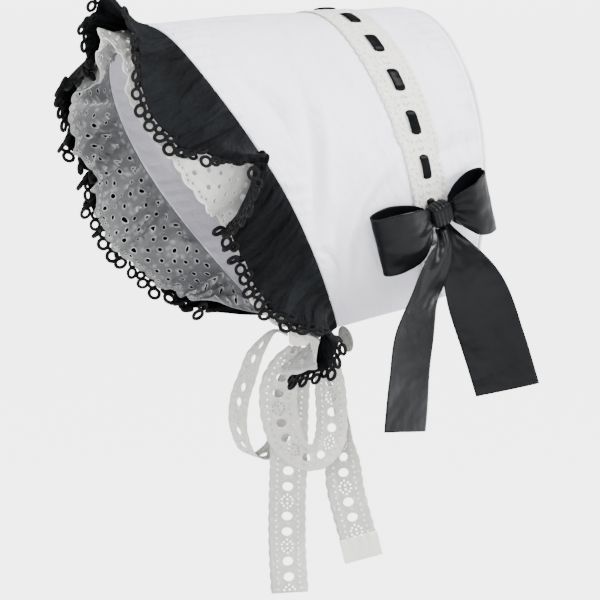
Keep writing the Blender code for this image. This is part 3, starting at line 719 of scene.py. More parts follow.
# %% [markdown]
# ## Lace
# Real lace has real holes, and at this size they show: light comes through them. A picture of lace with a
# cut-out mask would be lighter, but it has no thickness and breaks at its edges. So one repeat of each lace
# is drawn flat: its outline and every hole are lines of a triangulation, and the triangles inside the holes
# are left out. A ring of points round each hole carries the `rim` weight, which becomes its corded edge.
# Geometry Nodes then repeats the drawing along the tape, and the flat result is laid on its surface.

# %% One repeat of a lace, with real holes
Hole = namedtuple("Hole", "along across half_length half_width")
HOLE_SIDES = 12
CORD_EDGE = 0.95
NEAREST, CLEAR = 0.3, 0.7


def scallops(pitch, depth, count):
    """An edge that bulges count times in a repeat: how far it is cut back at a distance along it."""
    return lambda along: depth * (1 - np.abs(np.sin(np.pi * along * count / pitch)))


def lace_repeat(name, pitch, low, high, low_edge, high_edge, holes, spacing=3.0):
    """A flat repeat from 0 to pitch between the two edges, in millimetres, with its holes left open."""
    points, lines = [], []

    def add_line(line, closed):
        first = len(points)
        points.extend(line)
        lines.extend((first + index, first + index + 1) for index in range(len(line) - 1))
        if closed:
            lines.append((first + len(line) - 1, first))

    alongs = np.linspace(0, pitch, int(pitch) + 1)
    bottom = [(along, low + low_edge(along)) for along in alongs]
    top = [(along, high - high_edge(along)) for along in alongs]
    ends = np.linspace(bottom[0][1], top[0][1], int((high - low) / spacing) + 1)[1:-1]
    add_line(bottom + [(pitch, end) for end in ends] + top[::-1] + [(0, end) for end in ends[::-1]], True)
    turns = np.arange(HOLE_SIDES) * 2 * math.pi / HOLE_SIDES
    for hole in holes:
        add_line([(hole.along + hole.half_length * math.cos(turn),
                   hole.across + hole.half_width * math.sin(turn)) for turn in turns], True)
    corded = len(points)
    for hole in holes:
        for turn in turns:
            ring = (hole.along + (hole.half_length + CORD_EDGE) * math.cos(turn),
                    hole.across + (hole.half_width + CORD_EDGE) * math.sin(turn))
            if NEAREST < ring[0] < pitch - NEAREST and not in_hole(ring, holes, NEAREST):
                points.append(ring)
    for along in np.arange(spacing / 2, pitch, spacing):
        for across in np.arange(low + spacing, high - spacing / 2, spacing):
            if not in_hole((along, across), holes, CORD_EDGE + CLEAR):
                points.append((along, across))
    made = delaunay_2d_cdt([Vector(point) for point in points], lines, [], 0, 1e-5)
    verts, faces, origins = made[0], made[2], made[3]
    kept = []
    for face in faces:
        along, across = np.mean([verts[corner] for corner in face], axis=0)
        inside = low + low_edge(along) < across < high - high_edge(along)
        if inside and not in_hole((along, across), holes, 0):
            kept.append(face)
    data = bpy.data.meshes.new(name)
    data.from_pydata([(x * MM, y * MM, 0) for x, y in verts], [], kept)
    rim = data.attributes.new("rim", "FLOAT", "POINT")
    first_hole = len(bottom) * 2 + len(ends) * 2
    for index, sources in enumerate(origins):
        rim.data[index].value = 1.0 if any(first_hole <= source < corded for source in sources) else 0.0
    tidy = bmesh.new()
    tidy.from_mesh(data)
    bmesh.ops.delete(tidy, geom=[vert for vert in tidy.verts if not vert.link_faces], context="VERTS")
    bmesh.ops.recalc_face_normals(tidy, faces=tidy.faces)
    if tidy.faces[0].normal.z < 0:
        bmesh.ops.reverse_faces(tidy, faces=tidy.faces)
    tidy.to_mesh(data)
    tidy.free()
    return data


def in_hole(point, holes, margin):
    """Whether a point lies in a hole or within a margin of one."""
    return any(((point[0] - hole.along) / (hole.half_length + margin)) ** 2
               + ((point[1] - hole.across) / (hole.half_width + margin)) ** 2 < 1 for hole in holes)


# %% Geometry Nodes: repeat a drawing along a tape
def group_with(name, inputs):
    """A new Geometry Nodes group with a geometry and these named inputs, and its tree."""
    group = bpy.data.node_groups.new(name, "GeometryNodeTree")
    group.interface.new_socket("Geometry", in_out="INPUT", socket_type="NodeSocketGeometry")
    group.interface.new_socket("Geometry", in_out="OUTPUT", socket_type="NodeSocketGeometry")
    for label, (kind, value) in inputs.items():
        socket = group.interface.new_socket(label, in_out="INPUT", socket_type=kind)
        if value is not None:
            socket.default_value = value
    return group, Tree(group)


def apply_group(name, data, group, values):
    """Runs the group on a mesh and gives back the plain mesh that comes out."""
    item = add_object(name, data)
    modifier = item.modifiers.new("Nodes", "NODES")
    modifier.node_group = group
    for socket in group.interface.items_tree:
        if socket.in_out == "INPUT" and socket.name in values:
            modifier[socket.identifier] = values[socket.name]
    bpy.context.view_layer.update()
    evaluated = item.evaluated_get(bpy.context.evaluated_depsgraph_get())
    result = bpy.data.meshes.new_from_object(evaluated)
    item.modifiers.remove(modifier)
    bpy.data.objects.remove(item)
    return result


def repeat_group():
    group, tree = group_with("repeat_along", {
        "Repeats": ("NodeSocketInt", 10), "Pitch": ("NodeSocketFloat", 0.03), "Start": ("NodeSocketFloat", 0.0),
        "Finish": ("NodeSocketMaterial", None)})
    start = tree.node("NodeGroupInput")
    step = tree.node("ShaderNodeCombineXYZ", values={"X": start.output("Pitch")})
    first = tree.node("ShaderNodeCombineXYZ", values={"X": start.output("Start")})
    line = tree.node("GeometryNodeMeshLine", {"mode": "OFFSET"}, {
        "Count": start.output("Repeats"), "Start Location": first, "Offset": step})
    drawn = tree.node("GeometryNodeInstanceOnPoints", values={
        "Points": line, "Instance": start.output("Geometry")})
    real = tree.node("GeometryNodeRealizeInstances", values={"Geometry": drawn})
    joined = tree.node("GeometryNodeMergeByDistance", values={"Geometry": real, "Distance": 0.00002})
    finished = tree.node("GeometryNodeSetMaterial", values={
        "Geometry": joined, "Material": start.output("Finish")})
    tree.node("NodeGroupOutput", values={"Geometry": finished})
    return group


REPEAT = repeat_group()


def lace_tape(name, repeat, pitch, start, end, origin, finish):
    """The flat lace from start to end, where one repeat begins at origin."""
    before = math.floor((start - origin) / pitch)
    count = math.ceil((end - origin) / pitch) - before
    data = apply_group(name, repeat.copy(), REPEAT, {
        "Repeats": count, "Pitch": pitch, "Start": origin + before * pitch, "Finish": finish})
    cut = bmesh.new()
    cut.from_mesh(data)
    for place, way in ((start, -1), (end, 1)):
        everything = cut.verts[:] + cut.edges[:] + cut.faces[:]
        bmesh.ops.bisect_plane(cut, geom=everything, dist=0.00001, plane_co=(place, 0, 0), plane_no=(way, 0, 0),
                               clear_outer=True)
    cut.to_mesh(data)
    cut.free()
    return data


def points_of(data):
    """The mesh's points as rows."""
    flat = np.empty(len(data.vertices) * 3)
    data.vertices.foreach_get("co", flat)
    return flat.reshape(-1, 3)


def lay_lace(data, surface):
    """Moves a flat lace onto its surface, keeps its flat map, and gives back its rim weights."""
    flat = points_of(data)
    add_flat_map(data, flat[:, :2])
    data.vertices.foreach_set("co", surface(flat[:, 0], flat[:, 1]).ravel())
    rims = np.empty(len(data.vertices))
    data.attributes["rim"].data.foreach_get("value", rims)
    data.update()
    return rims


# %% [markdown]
# ## The eyelet lace
# The inner ruffle is broderie anglaise: cotton with small corded eyelets and a scalloped edge. The eyelets
# here are scattered over the cloth, with three dots in each scallop, and one repeat holds two scallops. It is
# laid on a ruffle surface of its own, just inside the black cotton.

# %% The eyelet ruffle
EYELET_PITCH = 24.0
EYELET, DOT = 1.75, 0.9
LACE_CLOTH = 0.9 * MM
GATHERED_AT = 32 * MM
SHADE_WITHIN = 14 * MM


def eyelet_holes():
    """The eyelets, and three dots in each of the two scallops."""
    holes = [Hole(along, across, EYELET, EYELET) for along, across in (
        (5, 12), (16.5, 10), (10.5, 18.5), (21, 20), (4.5, 26), (14, 28.5), (20.5, 33), (8, 36), (15.5, 42.5),
        (3.5, 45), (21, 49), (10, 50.5))]
    for scallop in (0, 12):
        for along, across in ((3, 4.9), (6, 3.6), (9, 4.9)):
            holes.append(Hole(scallop + along, across, DOT, DOT))
    return holes


def level_edge(along):
    return 0 * along


eyelet_repeat = lace_repeat("eyelet_repeat", EYELET_PITCH, 0, LACE_WIDTH / MM, scallops(EYELET_PITCH, 2.2, 2),
                            level_edge, eyelet_holes())
us = np.linspace(-1, 1, 1201)
lace_lengths = lengths_along(ruffle_plain(us, np.full_like(us, GATHERED_AT), True))
repeats = round(lace_lengths[-1] / (EYELET_PITCH * MM))
lace_run = repeats * EYELET_PITCH * MM


def lace_surface(along, across):
    """The lace's own point on the ruffle for a point on the flat strip, whose scallops are at across 0."""
    place = np.interp(along * lace_lengths[-1] / lace_run, lace_lengths, us)
    return ruffle_cloth(place, LACE_WIDTH - across, lace=True)


data = lace_tape("eyelet_ruffle_lace", eyelet_repeat, EYELET_PITCH * MM, 0, lace_run, 0, eyelet_lace)
flat = points_of(data)
places = np.interp(flat[:, 0] * lace_lengths[-1] / lace_run, lace_lengths, us)
reach = LACE_WIDTH - flat[:, 1]
apart = np.linalg.norm(ruffle_plain(places, reach, True) - ruffle_plain(places, reach, False), axis=1)
rims = lay_lace(data, lace_surface)
# Painted shade: a weight that is 1 where the lace lies within 3.5 mm of the black cloth and fades to 0 at 17.5
# mm.
backing = data.attributes.new("backing", "FLOAT", "POINT")
backing.data.foreach_set("value", np.clip(1.25 - apart / SHADE_WITHIN, 0, 1))
lace = finish_piece("eyelet_ruffle_lace", data, eyelet_lace, "white_lace", "eyelet_ruffle")
thicken(lace, LACE_CLOTH, -1, rims, 0.5)
print("eyelet ruffle: %d repeats, %d faces" % (repeats, len(data.polygons)))

# %% [markdown]
# ## The crocheted edging
# Two rows of rings in black thread finish the ruffle: a small one sewn to the hem, and a larger one that
# hangs between two of them. They follow the ruffle's edge in every fold, which is what Geometry Nodes is good
# at: points along the edge carry the directions along and off the cloth, and a pair of rings is turned to
# each of them.

# %% Picots along the edge
PICOT_PITCH = 12.4 * MM
THREAD_RADIUS = 1.4 * MM
INNER_RING, OUTER_RING = 3.1 * MM, 3.9 * MM
INNER_REACH, OUTER_REACH = 1.5 * MM, 6.4 * MM
RING_SPREAD = 0.07


def oriented_points(name, points, along, across):
    """A mesh of loose points that carry two directions, for pieces that are set on them."""
    data = bpy.data.meshes.new(name)
    data.from_pydata(points.tolist(), [], [])
    for label, vectors in (("along", along), ("across", across)):
        data.attributes.new(label, "FLOAT_VECTOR", "POINT").data.foreach_set("vector", vectors.ravel())
    return data


def turned_to_cloth(tree, start, instance, spread, seed):
    """Sets an instance on every point, turned to its two directions, with a small random change of size."""
    along, across = (
        tree.node("GeometryNodeInputNamedAttribute", {"data_type": "FLOAT_VECTOR"}, {"Name": label})
        for label in ("along", "across"))
    turn = tree.node("FunctionNodeAlignRotationToVector", {"axis": "X"}, {"Vector": along})
    turn = tree.node("FunctionNodeAlignRotationToVector", {"axis": "Y", "pivot_axis": "X"}, {
        "Rotation": turn, "Vector": across})
    size = tree.node("FunctionNodeRandomValue", {"data_type": "FLOAT"}, {
        2: 1 - spread, 3: 1 + spread, "Seed": seed}, output=1)
    placed = tree.node("GeometryNodeInstanceOnPoints", values={
        "Points": start.output("Geometry"), "Instance": instance, "Rotation": turn, "Scale": size})
    real = tree.node("GeometryNodeRealizeInstances", values={"Geometry": placed})
    finished = tree.node("GeometryNodeSetMaterial", values={
        "Geometry": real, "Material": start.output("Finish")})
    smooth = tree.node("GeometryNodeSetShadeSmooth", values={0: finished})
    tree.node("NodeGroupOutput", values={"Geometry": smooth})


def picot_group():
    group, tree = group_with("picot_rings", {
        "Pitch": ("NodeSocketFloat", 0.012), "Thread": ("NodeSocketFloat", 0.001),
        "Inner Ring": ("NodeSocketFloat", 0.003), "Outer Ring": ("NodeSocketFloat", 0.004),
        "Inner Reach": ("NodeSocketFloat", 0.002), "Outer Reach": ("NodeSocketFloat", 0.008),
        "Seed": ("NodeSocketInt", 3), "Finish": ("NodeSocketMaterial", None)})
    start = tree.node("NodeGroupInput")
    thread = tree.node("GeometryNodeCurvePrimitiveCircle", values={
        "Resolution": 6, "Radius": start.output("Thread")})
    rings = []
    for label, sides, share in (("Inner", 16, 0.5), ("Outer", 20, 0.0)):
        circle = tree.node("GeometryNodeCurvePrimitiveCircle", values={
            "Resolution": sides, "Radius": start.output(label + " Ring")})
        ring = tree.node("GeometryNodeCurveToMesh", values={"Curve": circle, "Profile Curve": thread})
        place = tree.node("ShaderNodeCombineXYZ", values={
            "X": start.output("Pitch") * share, "Y": start.output(label + " Reach")})
        rings.append(tree.node("GeometryNodeTransform", values={"Geometry": ring, "Translation": place}))
    pair = tree.node("GeometryNodeJoinGeometry", values={0: rings[0]})
    tree.nodes.links.new(rings[1].socket, pair.socket.node.inputs[0])
    turned_to_cloth(tree, start, pair, RING_SPREAD, start.output("Seed"))
    return group


us = np.linspace(-0.998, 0.998, 2401)
edge = ruffle_cloth(us, np.full_like(us, RUFFLE_WIDTH))
edge_lengths = lengths_along(edge)
picots = round(edge_lengths[-1] / PICOT_PITCH)
spots = (np.arange(picots) + 0.25) * edge_lengths[-1] / picots
places = np.interp(spots, edge_lengths, us)
here, ahead, behind, inner = (ruffle_cloth(places + shift, np.full_like(places, reach)) for shift, reach in (
    (0, RUFFLE_WIDTH), (0.003, RUFFLE_WIDTH), (-0.003, RUFFLE_WIDTH), (0, RUFFLE_WIDTH - 3 * MM)))
along, across = unit(ahead - behind), unit(here - inner)
spots = here - 0.5 * RUFFLE_CLOTH * unit(np.cross(across, along))
spot_mesh = oriented_points("picot_spots", spots, along, across)
data = apply_group("picots", spot_mesh, picot_group(), {
    "Pitch": edge_lengths[-1] / picots, "Thread": THREAD_RADIUS, "Inner Ring": INNER_RING,
    "Outer Ring": OUTER_RING, "Inner Reach": INNER_REACH, "Outer Reach": OUTER_REACH, "Seed": 3,
    "Finish": black_crochet})
finish_piece("picot_rings", data, black_crochet, "black_crochet", "picot_edging")
print("picots: %d pairs of rings, %d faces" % (picots, len(data.polygons)))

# %% [markdown]
# ## The lace band
# The band is an insertion lace: a warm white tape with scalloped edges, pairs of slots for the ribbon, a
# flower of small holes between two pairs, and sprays of holes beside them. Its drawing repeats with the
# slots. It lies on the crown's cloth, folds and all, and stands up a little in its middle, where the ribbon
# runs under it.

# %% The band's surface
BAND_PLACE = 0.69
BAND_WIDTH = 44.0
SLOT_PITCH = 35.0
SLOT_SHIFT = 30 * MM
SLOT_INNER, SLOT_OUTER = 4 * MM, 10 * MM
BAND_LIFT, BAND_RIDGE, RIDGE_HALF = 0.6 * MM, 0.7 * MM, 8.5 * MM
BAND_CLOTH = 1.0 * MM
band_places = np.linspace(-1, 1, 801)
band_arcs = lengths_along(crown_point(band_places, np.full(801, BAND_PLACE)))
band_arcs = band_arcs - band_arcs[-1] / 2
BAND_HALF = band_arcs[-1] - 2 * MM


def on_band(arc, across, lift):
    """A point over the band's place on the crown, with across towards the back."""
    place = np.interp(arc, band_arcs, band_places)
    depth = BAND_PLACE + across / CROWN_LENGTH
    return crown_cloth(place, depth, lift)


def band_surface(arc, across):
    """The band's cloth, which stands up in its middle."""
    ridge = 1 / (1 + (np.abs(across) / RIDGE_HALF) ** 8)
    return on_band(arc, across, BAND_LIFT + BAND_RIDGE * ridge)


def band_holes():
    """Two slots, a ring of dots between two pairs, and sprays and rows of dots on both sides."""
    middle, holes = SLOT_PITCH / 2, []
    slot = (SLOT_OUTER - SLOT_INNER) / 2 / MM
    for way in (-1, 1):
        holes.append(Hole(middle + way * (SLOT_INNER / MM + slot), 0, slot, 5.6))
    for step in range(8):
        turn = step * math.pi / 4
        place = (middle + SLOT_PITCH / 2 + 3.6 * math.cos(turn)) % SLOT_PITCH
        if 1.2 < place < SLOT_PITCH - 1.2:
            holes.append(Hole(place, 3.6 * math.sin(turn), 0.7, 0.7))
    for side in (-1, 1):
        for along, across in ((4.5, 11.5), (9, 13.5), (13.5, 11), (17.5, 14.5), (21.5, 11), (26, 13.5),
                              (30.5, 11.5), (3.2, 7.6), (31.8, 7.6), (17.5, 10)):
            holes.append(Hole(along, side * across, 0.55, 0.55))
        for petal in range(7):
            holes.append(Hole(2.5 + petal * 5, side * 18.6, 0.6, 0.6))
    return holes


band_scallops = scallops(SLOT_PITCH, 1.6, 5)
band_repeat = lace_repeat("band_repeat", SLOT_PITCH, -BAND_WIDTH / 2, BAND_WIDTH / 2, band_scallops,
                          band_scallops, band_holes(), spacing=2.6)
origin = SLOT_SHIFT - SLOT_PITCH / 2 * MM
data = lace_tape("lace_band_tape", band_repeat, SLOT_PITCH * MM, -BAND_HALF, BAND_HALF, origin, band_lace)
rims = lay_lace(data, band_surface)
band = finish_piece("lace_band_tape", data, band_lace, "white_lace", "lace_band")
thicken(band, BAND_CLOTH, 1, rims, 0.6)
print("lace band: %d faces" % len(data.polygons))

# %% [markdown]
# ## The threaded ribbon
# A 10 mm satin ribbon comes up through one slot, crosses the bar between the slots and goes down through the
# next. Its height over the crown is a wave with the slots' pitch, and its edges turn down slightly, so it
# catches light.

# %% The threaded ribbon
RIBBON_HALF = 5 * MM
RIBBON_CLOTH = 0.5 * MM
RIBBON_FIRST, RIBBON_LAST = -8, 5
RIBBON_TOP, RIBBON_DIP, RIBBON_ARCH, EDGE_DROP = 3.3 * MM, 2.9 * MM, 0.2 * MM, 0.5 * MM


def ribbon_lift(arc):
    """The ribbon's height over the crown: high over the bar between two slots and low outside them."""
    away = np.abs((arc - SLOT_SHIFT + SLOT_PITCH / 2 * MM) % (SLOT_PITCH * MM) - SLOT_PITCH / 2 * MM)
    part = np.clip((away - SLOT_INNER) / (SLOT_OUTER - SLOT_INNER), 0, 1)
    return RIBBON_TOP - RIBBON_DIP * part ** 3 - RIBBON_ARCH * (away / SLOT_INNER) ** 2 * (part == 0)


def ribbon_surface(arc, across):
    """The ribbon's cloth, whose edges turn down where it lies on top of the band."""
    crowned = -EDGE_DROP * (across / RIBBON_HALF) ** 2 * (ribbon_lift(arc) > 1.8 * MM)
    return on_band(arc, across, ribbon_lift(arc) + crowned)


us = SLOT_SHIFT + np.arange(RIBBON_FIRST * SLOT_PITCH - 10, RIBBON_LAST * SLOT_PITCH + 10.5, 1.0) * MM
vs = np.linspace(-RIBBON_HALF, RIBBON_HALF, 7)
threaded = grid_piece("threaded_ribbon_satin", "threaded_ribbon", us, vs, ribbon_surface, us, vs, narrow_satin,
                      "black_satin")
thicken(threaded, RIBBON_CLOTH, 1)
print("threaded ribbon: %.0f mm" % ((us[-1] - us[0]) / MM))

# %% [markdown]
# ## Ribbons that hang in space
# The bow and the ties are ribbons on a smooth line through a few stops. Each stop gives a point, the way of
# the ribbon's width and the width, which is less where the ribbon is pinched. The stops are those of the
# solids, apart from the straps' upper ends, which follow the creased cloth of the crown.


# %% A ribbon through its stops
def smooth(rows, part):
    """Every column of the rows at each part, 0 to 1, of the way along a curve through all of them."""
    rows = np.asarray(rows, dtype=float)
    place = part * (len(rows) - 1)
    start = np.clip(place.astype(int), 0, len(rows) - 2)
    part = (place - start)[..., None]
    a, b, c, d = (rows[np.clip(start + shift, 0, len(rows) - 1)] for shift in (-1, 0, 1, 2))
    return b + 0.5 * part * (c - a + part * (2 * a - 5 * b + 4 * c - d + part * (3 * (b - c) + d - a)))


class Hanging:
    """The surface of a ribbon through its stops: point(length, share) is a length along and a share across."""

    SAMPLES, STEP = 401, 0.002

    def __init__(self, stops):
        self.rows = [(*point, *side, width) for point, side, width in stops]
        self.parts = np.linspace(0, 1, self.SAMPLES)
        self.lengths = lengths_along(smooth(self.rows, self.parts)[:, :3])
        self.length = self.lengths[-1]

    def axes(self, length):
        """The middle of the ribbon, the ways along, across and out of it, and its width."""
        part = np.interp(length, self.lengths, self.parts)
        row = smooth(self.rows, part)
        before = smooth(self.rows, np.maximum(part - self.STEP, 0))[..., :3]
        after = smooth(self.rows, np.minimum(part + self.STEP, 1))[..., :3]
        along = unit(after - before)
        side = row[..., 3:6]
        side = unit(side - scaled(along, (along * side).sum(axis=-1)))
        return row[..., :3], along, side, np.cross(along, side), row[..., 6]

    def point(self, length, share, lift=0.0):
        """The point at a length and a share, lifted off the ribbon."""
        middle, along, side, out, width = self.axes(length)
        return middle + scaled(side, width * share) + scaled(out, lift + 0 * share)


# %% [markdown]
# ## The bow
# The bow is 50 mm satin ribbon: two loops, two tails and a wrapped knot. At the knot the ribbon is gathered
# into deep folds that run out and flatten along it. The folds are a wave across the width whose height fades
# with length.

# %% The bow's place and its tables
BOW_ARC = SLOT_SHIFT + 5 * SLOT_PITCH * MM
BOW_TILT = math.radians(7)
SATIN, SATIN_WIDTH = 0.6 * MM, 50 * MM
KNOT_SIZE = (19 * MM, 20 * MM, 16 * MM)
KNOT_LIFT = 12 * MM
LoopStop = namedtuple("LoopStop", "along lift width")
BOW_LOOP = [
    LoopStop(10.6, 15, 17),
    LoopStop(19, 21, 31),
    LoopStop(32, 26, 43),
    LoopStop(47, 24, 49),
    LoopStop(58, 19, 50),
    LoopStop(61, 12.5, 50),
    LoopStop(56, 8, 50),
    LoopStop(40, 6, 46),
    LoopStop(22, 6.5, 32),
    LoopStop(10.6, 8.5, 17),
]
BACK_LOOP_SHARE = 0.68
BACK_LOOP_SAG = 0.2
TailStop = namedtuple("TailStop", "back drop out turn width")
FRONT_TAIL = [
    TailStop(-3, 11.4, 2.5, 0, 10),
    TailStop(-1, 28, 6.5, -8, 19),
    TailStop(-19, 57, 10.5, -24, 46),
    TailStop(-28, 90, 8, -16, 50),
    TailStop(-32, 124, 6, -20, 50),
    TailStop(-36, 165, 5, -16, 50),
]
BACK_TAIL = [
    TailStop(4, 10.9, -3, 0, 9),
    TailStop(13, 27, 1, 14, 28),
    TailStop(29, 60, 7, 26, 48),
    TailStop(44, 100, 10, 33, 50),
    TailStop(59, 140, 10, 33, 50),
]
bow_place = np.array([np.interp(BOW_ARC, band_arcs, band_places)])
bow_out, bow_back = (axis[0] for axis in crown_axes(bow_place, np.array([BAND_PLACE]))[1:])
bow_back = np.array(Matrix.Rotation(BOW_TILT, 3, Vector(bow_out)) @ Vector(bow_back))
bow_up = np.cross(bow_out, bow_back)
bow_foot = crown_point(bow_place, np.array([BAND_PLACE]))[0]
bow_middle = bow_foot + bow_out * KNOT_LIFT
print("bow: knot at", [round(x / MM) for x in bow_middle], "mm")


# %% The bow's loops and tails
def satin_ribbon(name, node, stops, columns, rows, folds, fade, wave=0.0, notch=0.0):
    """A satin ribbon whose gathers at its start, and at its end for a loop, fade along it."""
    hanging = Hanging(stops)
    both = name.endswith("loop")

    def surface(length, share):
        ends = np.minimum(length, hanging.length - length) if both else length
        height = np.zeros_like(share)
        for turns, strength, shift in folds:
            height += strength * np.sin(share * turns * 2 * math.pi + shift) * np.exp(-ends / fade)
        height *= np.clip(ends / (4 * MM), 0.25, 1)
        height += wave * np.sin(length / (21 * MM) + share * 2.5) * np.clip(length / (40 * MM), 0, 1)
        stretch = length - notch * (share - 0.5) * (length / hanging.length) ** 8
        return hanging.point(stretch, share, height)

    us, vs = np.linspace(0, hanging.length, columns + 1), np.linspace(-0.5, 0.5, rows + 1)
    item = grid_piece(name, node, us, vs, surface, us, vs * SATIN_WIDTH, black_satin, "black_satin")
    thicken(item, SATIN, 0)
    print("%s: %.0f mm of ribbon" % (name, hanging.length / MM))


def loop_stops(way, share, sag):
    """A loop's stops, towards the front for way -1, shortened to a share and sagging as it goes out."""
    stops = []
    for along, lift, width in BOW_LOOP:
        beyond = (along - BOW_LOOP[0][0]) * share * MM
        point = bow_foot + bow_back * way * (BOW_LOOP[0][0] * MM + beyond) - bow_up * sag * beyond
        stops.append((point + bow_out * lift * MM, bow_up, width * MM))
    return stops


def tail_stops(rows):
    """A tail's stops: its first row lies in the knot's own directions, the others hang."""
    back, drop, out, turn, width = rows[0]
    stops = [(bow_middle + (bow_out * out + bow_back * back - bow_up * drop) * MM, bow_back, width * MM)]
    for back, drop, out, turn, width in rows[1:]:
        turn, place = math.radians(turn), bow_middle + np.array([out, back, -drop]) * MM
        stops.append((place, (math.sin(turn), math.cos(turn), 0), width * MM))
    return stops


PINCH = ((2.0, 1.5 * MM, 0.4), (3.0, 0.9 * MM, 2.0), (5.0, 0.4 * MM, 1.0))
TAIL_PINCH = ((1.5, 1.8 * MM, 0.9), (2.5, 1.0 * MM, 2.6))
satin_ribbon("satin_front_loop", "bow_front_loop", loop_stops(-1, 1, 0), 110, 30, PINCH, fade=17 * MM,
             wave=0.5 * MM)
satin_ribbon("satin_back_loop", "bow_back_loop", loop_stops(1, BACK_LOOP_SHARE, BACK_LOOP_SAG), 90, 30, PINCH,
             fade=15 * MM, wave=0.4 * MM)
satin_ribbon("satin_front_tail", "bow_front_tail", tail_stops(FRONT_TAIL), 110, 26, TAIL_PINCH, fade=30 * MM,
             wave=1.6 * MM, notch=2 * MM)
satin_ribbon("satin_back_tail", "bow_back_tail", tail_stops(BACK_TAIL), 100, 26, TAIL_PINCH, fade=26 * MM,
             wave=1.4 * MM, notch=-3 * MM)


# %% The bow's knot
KNOT_ROUNDNESS = 0.55


def squared(wave):
    """A sine or cosine with its round top flattened, which makes a circle a rounded square."""
    return np.sign(wave) * np.abs(wave) ** KNOT_ROUNDNESS


def wrapped_knot(name, node, size, axes, centre, finish, slot, creases):
    """A rounded block of wrapped ribbon: creases run round it, and its two ends are closed to a point."""
    def surface(turn, place):
        waist = 1 - 0.06 * np.cos(place * 2)
        height = np.abs(np.cos(place)) ** 0.45
        ridges = 1 + 0.05 * np.sin(place * creases + 0.8 * np.sin(turn * 2)) * height
        along = np.sin(place) * 0.5 * size[0]
        up = squared(np.cos(turn)) * 0.5 * size[1] * height * ridges * waist
        out = squared(np.sin(turn)) * 0.5 * size[2] * height * ridges * waist
        return centre + np.outer(along, axes[0]) + np.outer(up, axes[1]) + np.outer(out, axes[2])

    us, vs = np.linspace(0, 2 * math.pi, 61), np.linspace(-math.pi / 2, math.pi / 2, 41)
    data = grid_mesh(name, us, vs, surface, us * 0.2 * size[1], vs * 0.3 * size[0])
    close_seams(data, 0.01 * MM)
    return finish_piece(name, data, finish, slot, node)


knot = wrapped_knot("bow_knot_wrap", "bow_knot", KNOT_SIZE, (bow_back, bow_up, bow_out), bow_middle,
                    black_satin, "black_satin", creases=17)
print("bow knot:", len(knot.data.polygons), "faces")

# %% [markdown]
# ## The ties
# The ties are a lace tape: pairs of corded slots, a cluster of small holes between the pairs, rows of dots
# beside them and shallow scallops. The drawing is cut to each length and laid on the ribbon's surface.

# %% The tape and its stops
TIE_KNOT = np.array([0, -9, -250]) * MM
TIE_KNOT_SIZE = (18 * MM, 18 * MM, 14 * MM)
TIE_TURN = math.radians(56)
TIE_PITCH = 36.0
TIE_MARGIN = 14 * MM
TAPE_WIDTH, TAPE_CLOTH = 30 * MM, 1.1 * MM
across_way = np.array([math.cos(TIE_TURN), math.sin(TIE_TURN), 0])
out_way = np.array([math.sin(TIE_TURN), -math.cos(TIE_TURN), 0])
TieStop = namedtuple("TieStop", "across drop out turn roll width")
SIDE_LOOP = [
    TieStop(-9.8, -2, -2, 90, 0, 12),
    TieStop(-21, -4, -1, 75, 0, 20),
    TieStop(-34, 12, 2, 64, 0, 30),
    TieStop(-42, 33, 2, 62, 0, 30),
    TieStop(-48, 53, 1, 62, 0, 30),
    TieStop(-48, 73, -1, 62, 0, 30),
    TieStop(-42, 90, -7, 62, 0, 30),
    TieStop(-31, 96, -15, 62, 0, 30),
    TieStop(-19, 86, -18, 62, 0, 30),
    TieStop(-12, 64, -22, 62, 0, 30),
    TieStop(-8, 40, -22, 62, 0, 30),
    TieStop(-5, 20, -17, 50, 0, 18),
    TieStop(-4, 7.9, -7.5, 0, 0, 9),
]
MIDDLE_LOOP = [
    TieStop(-4, 7.9, 6, 0, 0, 10),
    TieStop(-10, 20, 10, 5, 0, 24),
    TieStop(-16, 36, 12, 3, 0, 30),
    TieStop(-17, 52, 12, 0, 0, 30),
    TieStop(-14, 68, 11, 0, 5, 30),
    TieStop(-9, 82, 9, 0, 35, 27),
    TieStop(2, 93, 7, 0, 75, 22),
    TieStop(15, 93, 3, 0, 110, 22),
    TieStop(23, 82, -1, 0, 150, 25),
    TieStop(25, 66, -3, 0, 175, 25),
    TieStop(24, 46, -3, 0, 180, 25),
    TieStop(22, 26, -1, 15, 180, 22),
    TieStop(16, 8, 1, 55, 180, 14),
    TieStop(9.8, 1, 0, 90, 180, 8),
]
LEFT_TAIL = [
    TieStop(-1, 7.9, 1, 0, 0, 10),
    TieStop(-4, 30, -1, 0, 0, 24),
    TieStop(-8, 60, 0, 0, 0, 30),
    TieStop(-9, 100, 2, 0, 0, 30),
    TieStop(-10, 130, 2, 6, 0, 30),
    TieStop(-10, 165, 0, -6, 0, 30),
    TieStop(-8, 202, 0, 0, 0, 30),
]
RIGHT_TAIL = [
    TieStop(6, 7.9, -6, 0, 0, 5),
    TieStop(22, 30, -14, 60, 0, 20),
    TieStop(32, 60, -19, 66, 0, 24),
    TieStop(35, 84, -18, 62, 0, 26),
    TieStop(34, 104, -12, 20, 0, 30),
    TieStop(36, 122, -8, 0, 8, 30),
    TieStop(41, 142, -7, 0, 16, 30),
    TieStop(45.5, 158, -7, 0, 16, 30),
]


def tie_stops(rows):
    """The stops of a loop or a tail of the ties, from its rows."""
    stops = []
    for across, drop, out, turn, roll, width in rows:
        turn, roll = math.radians(turn), math.radians(roll)
        point = TIE_KNOT + (across_way * across + DOWN * drop + out_way * out) * MM
        level = across_way * math.cos(turn) + out_way * math.sin(turn)
        stops.append((point, level * math.cos(roll) - DOWN * math.sin(roll), width * MM))
    return stops


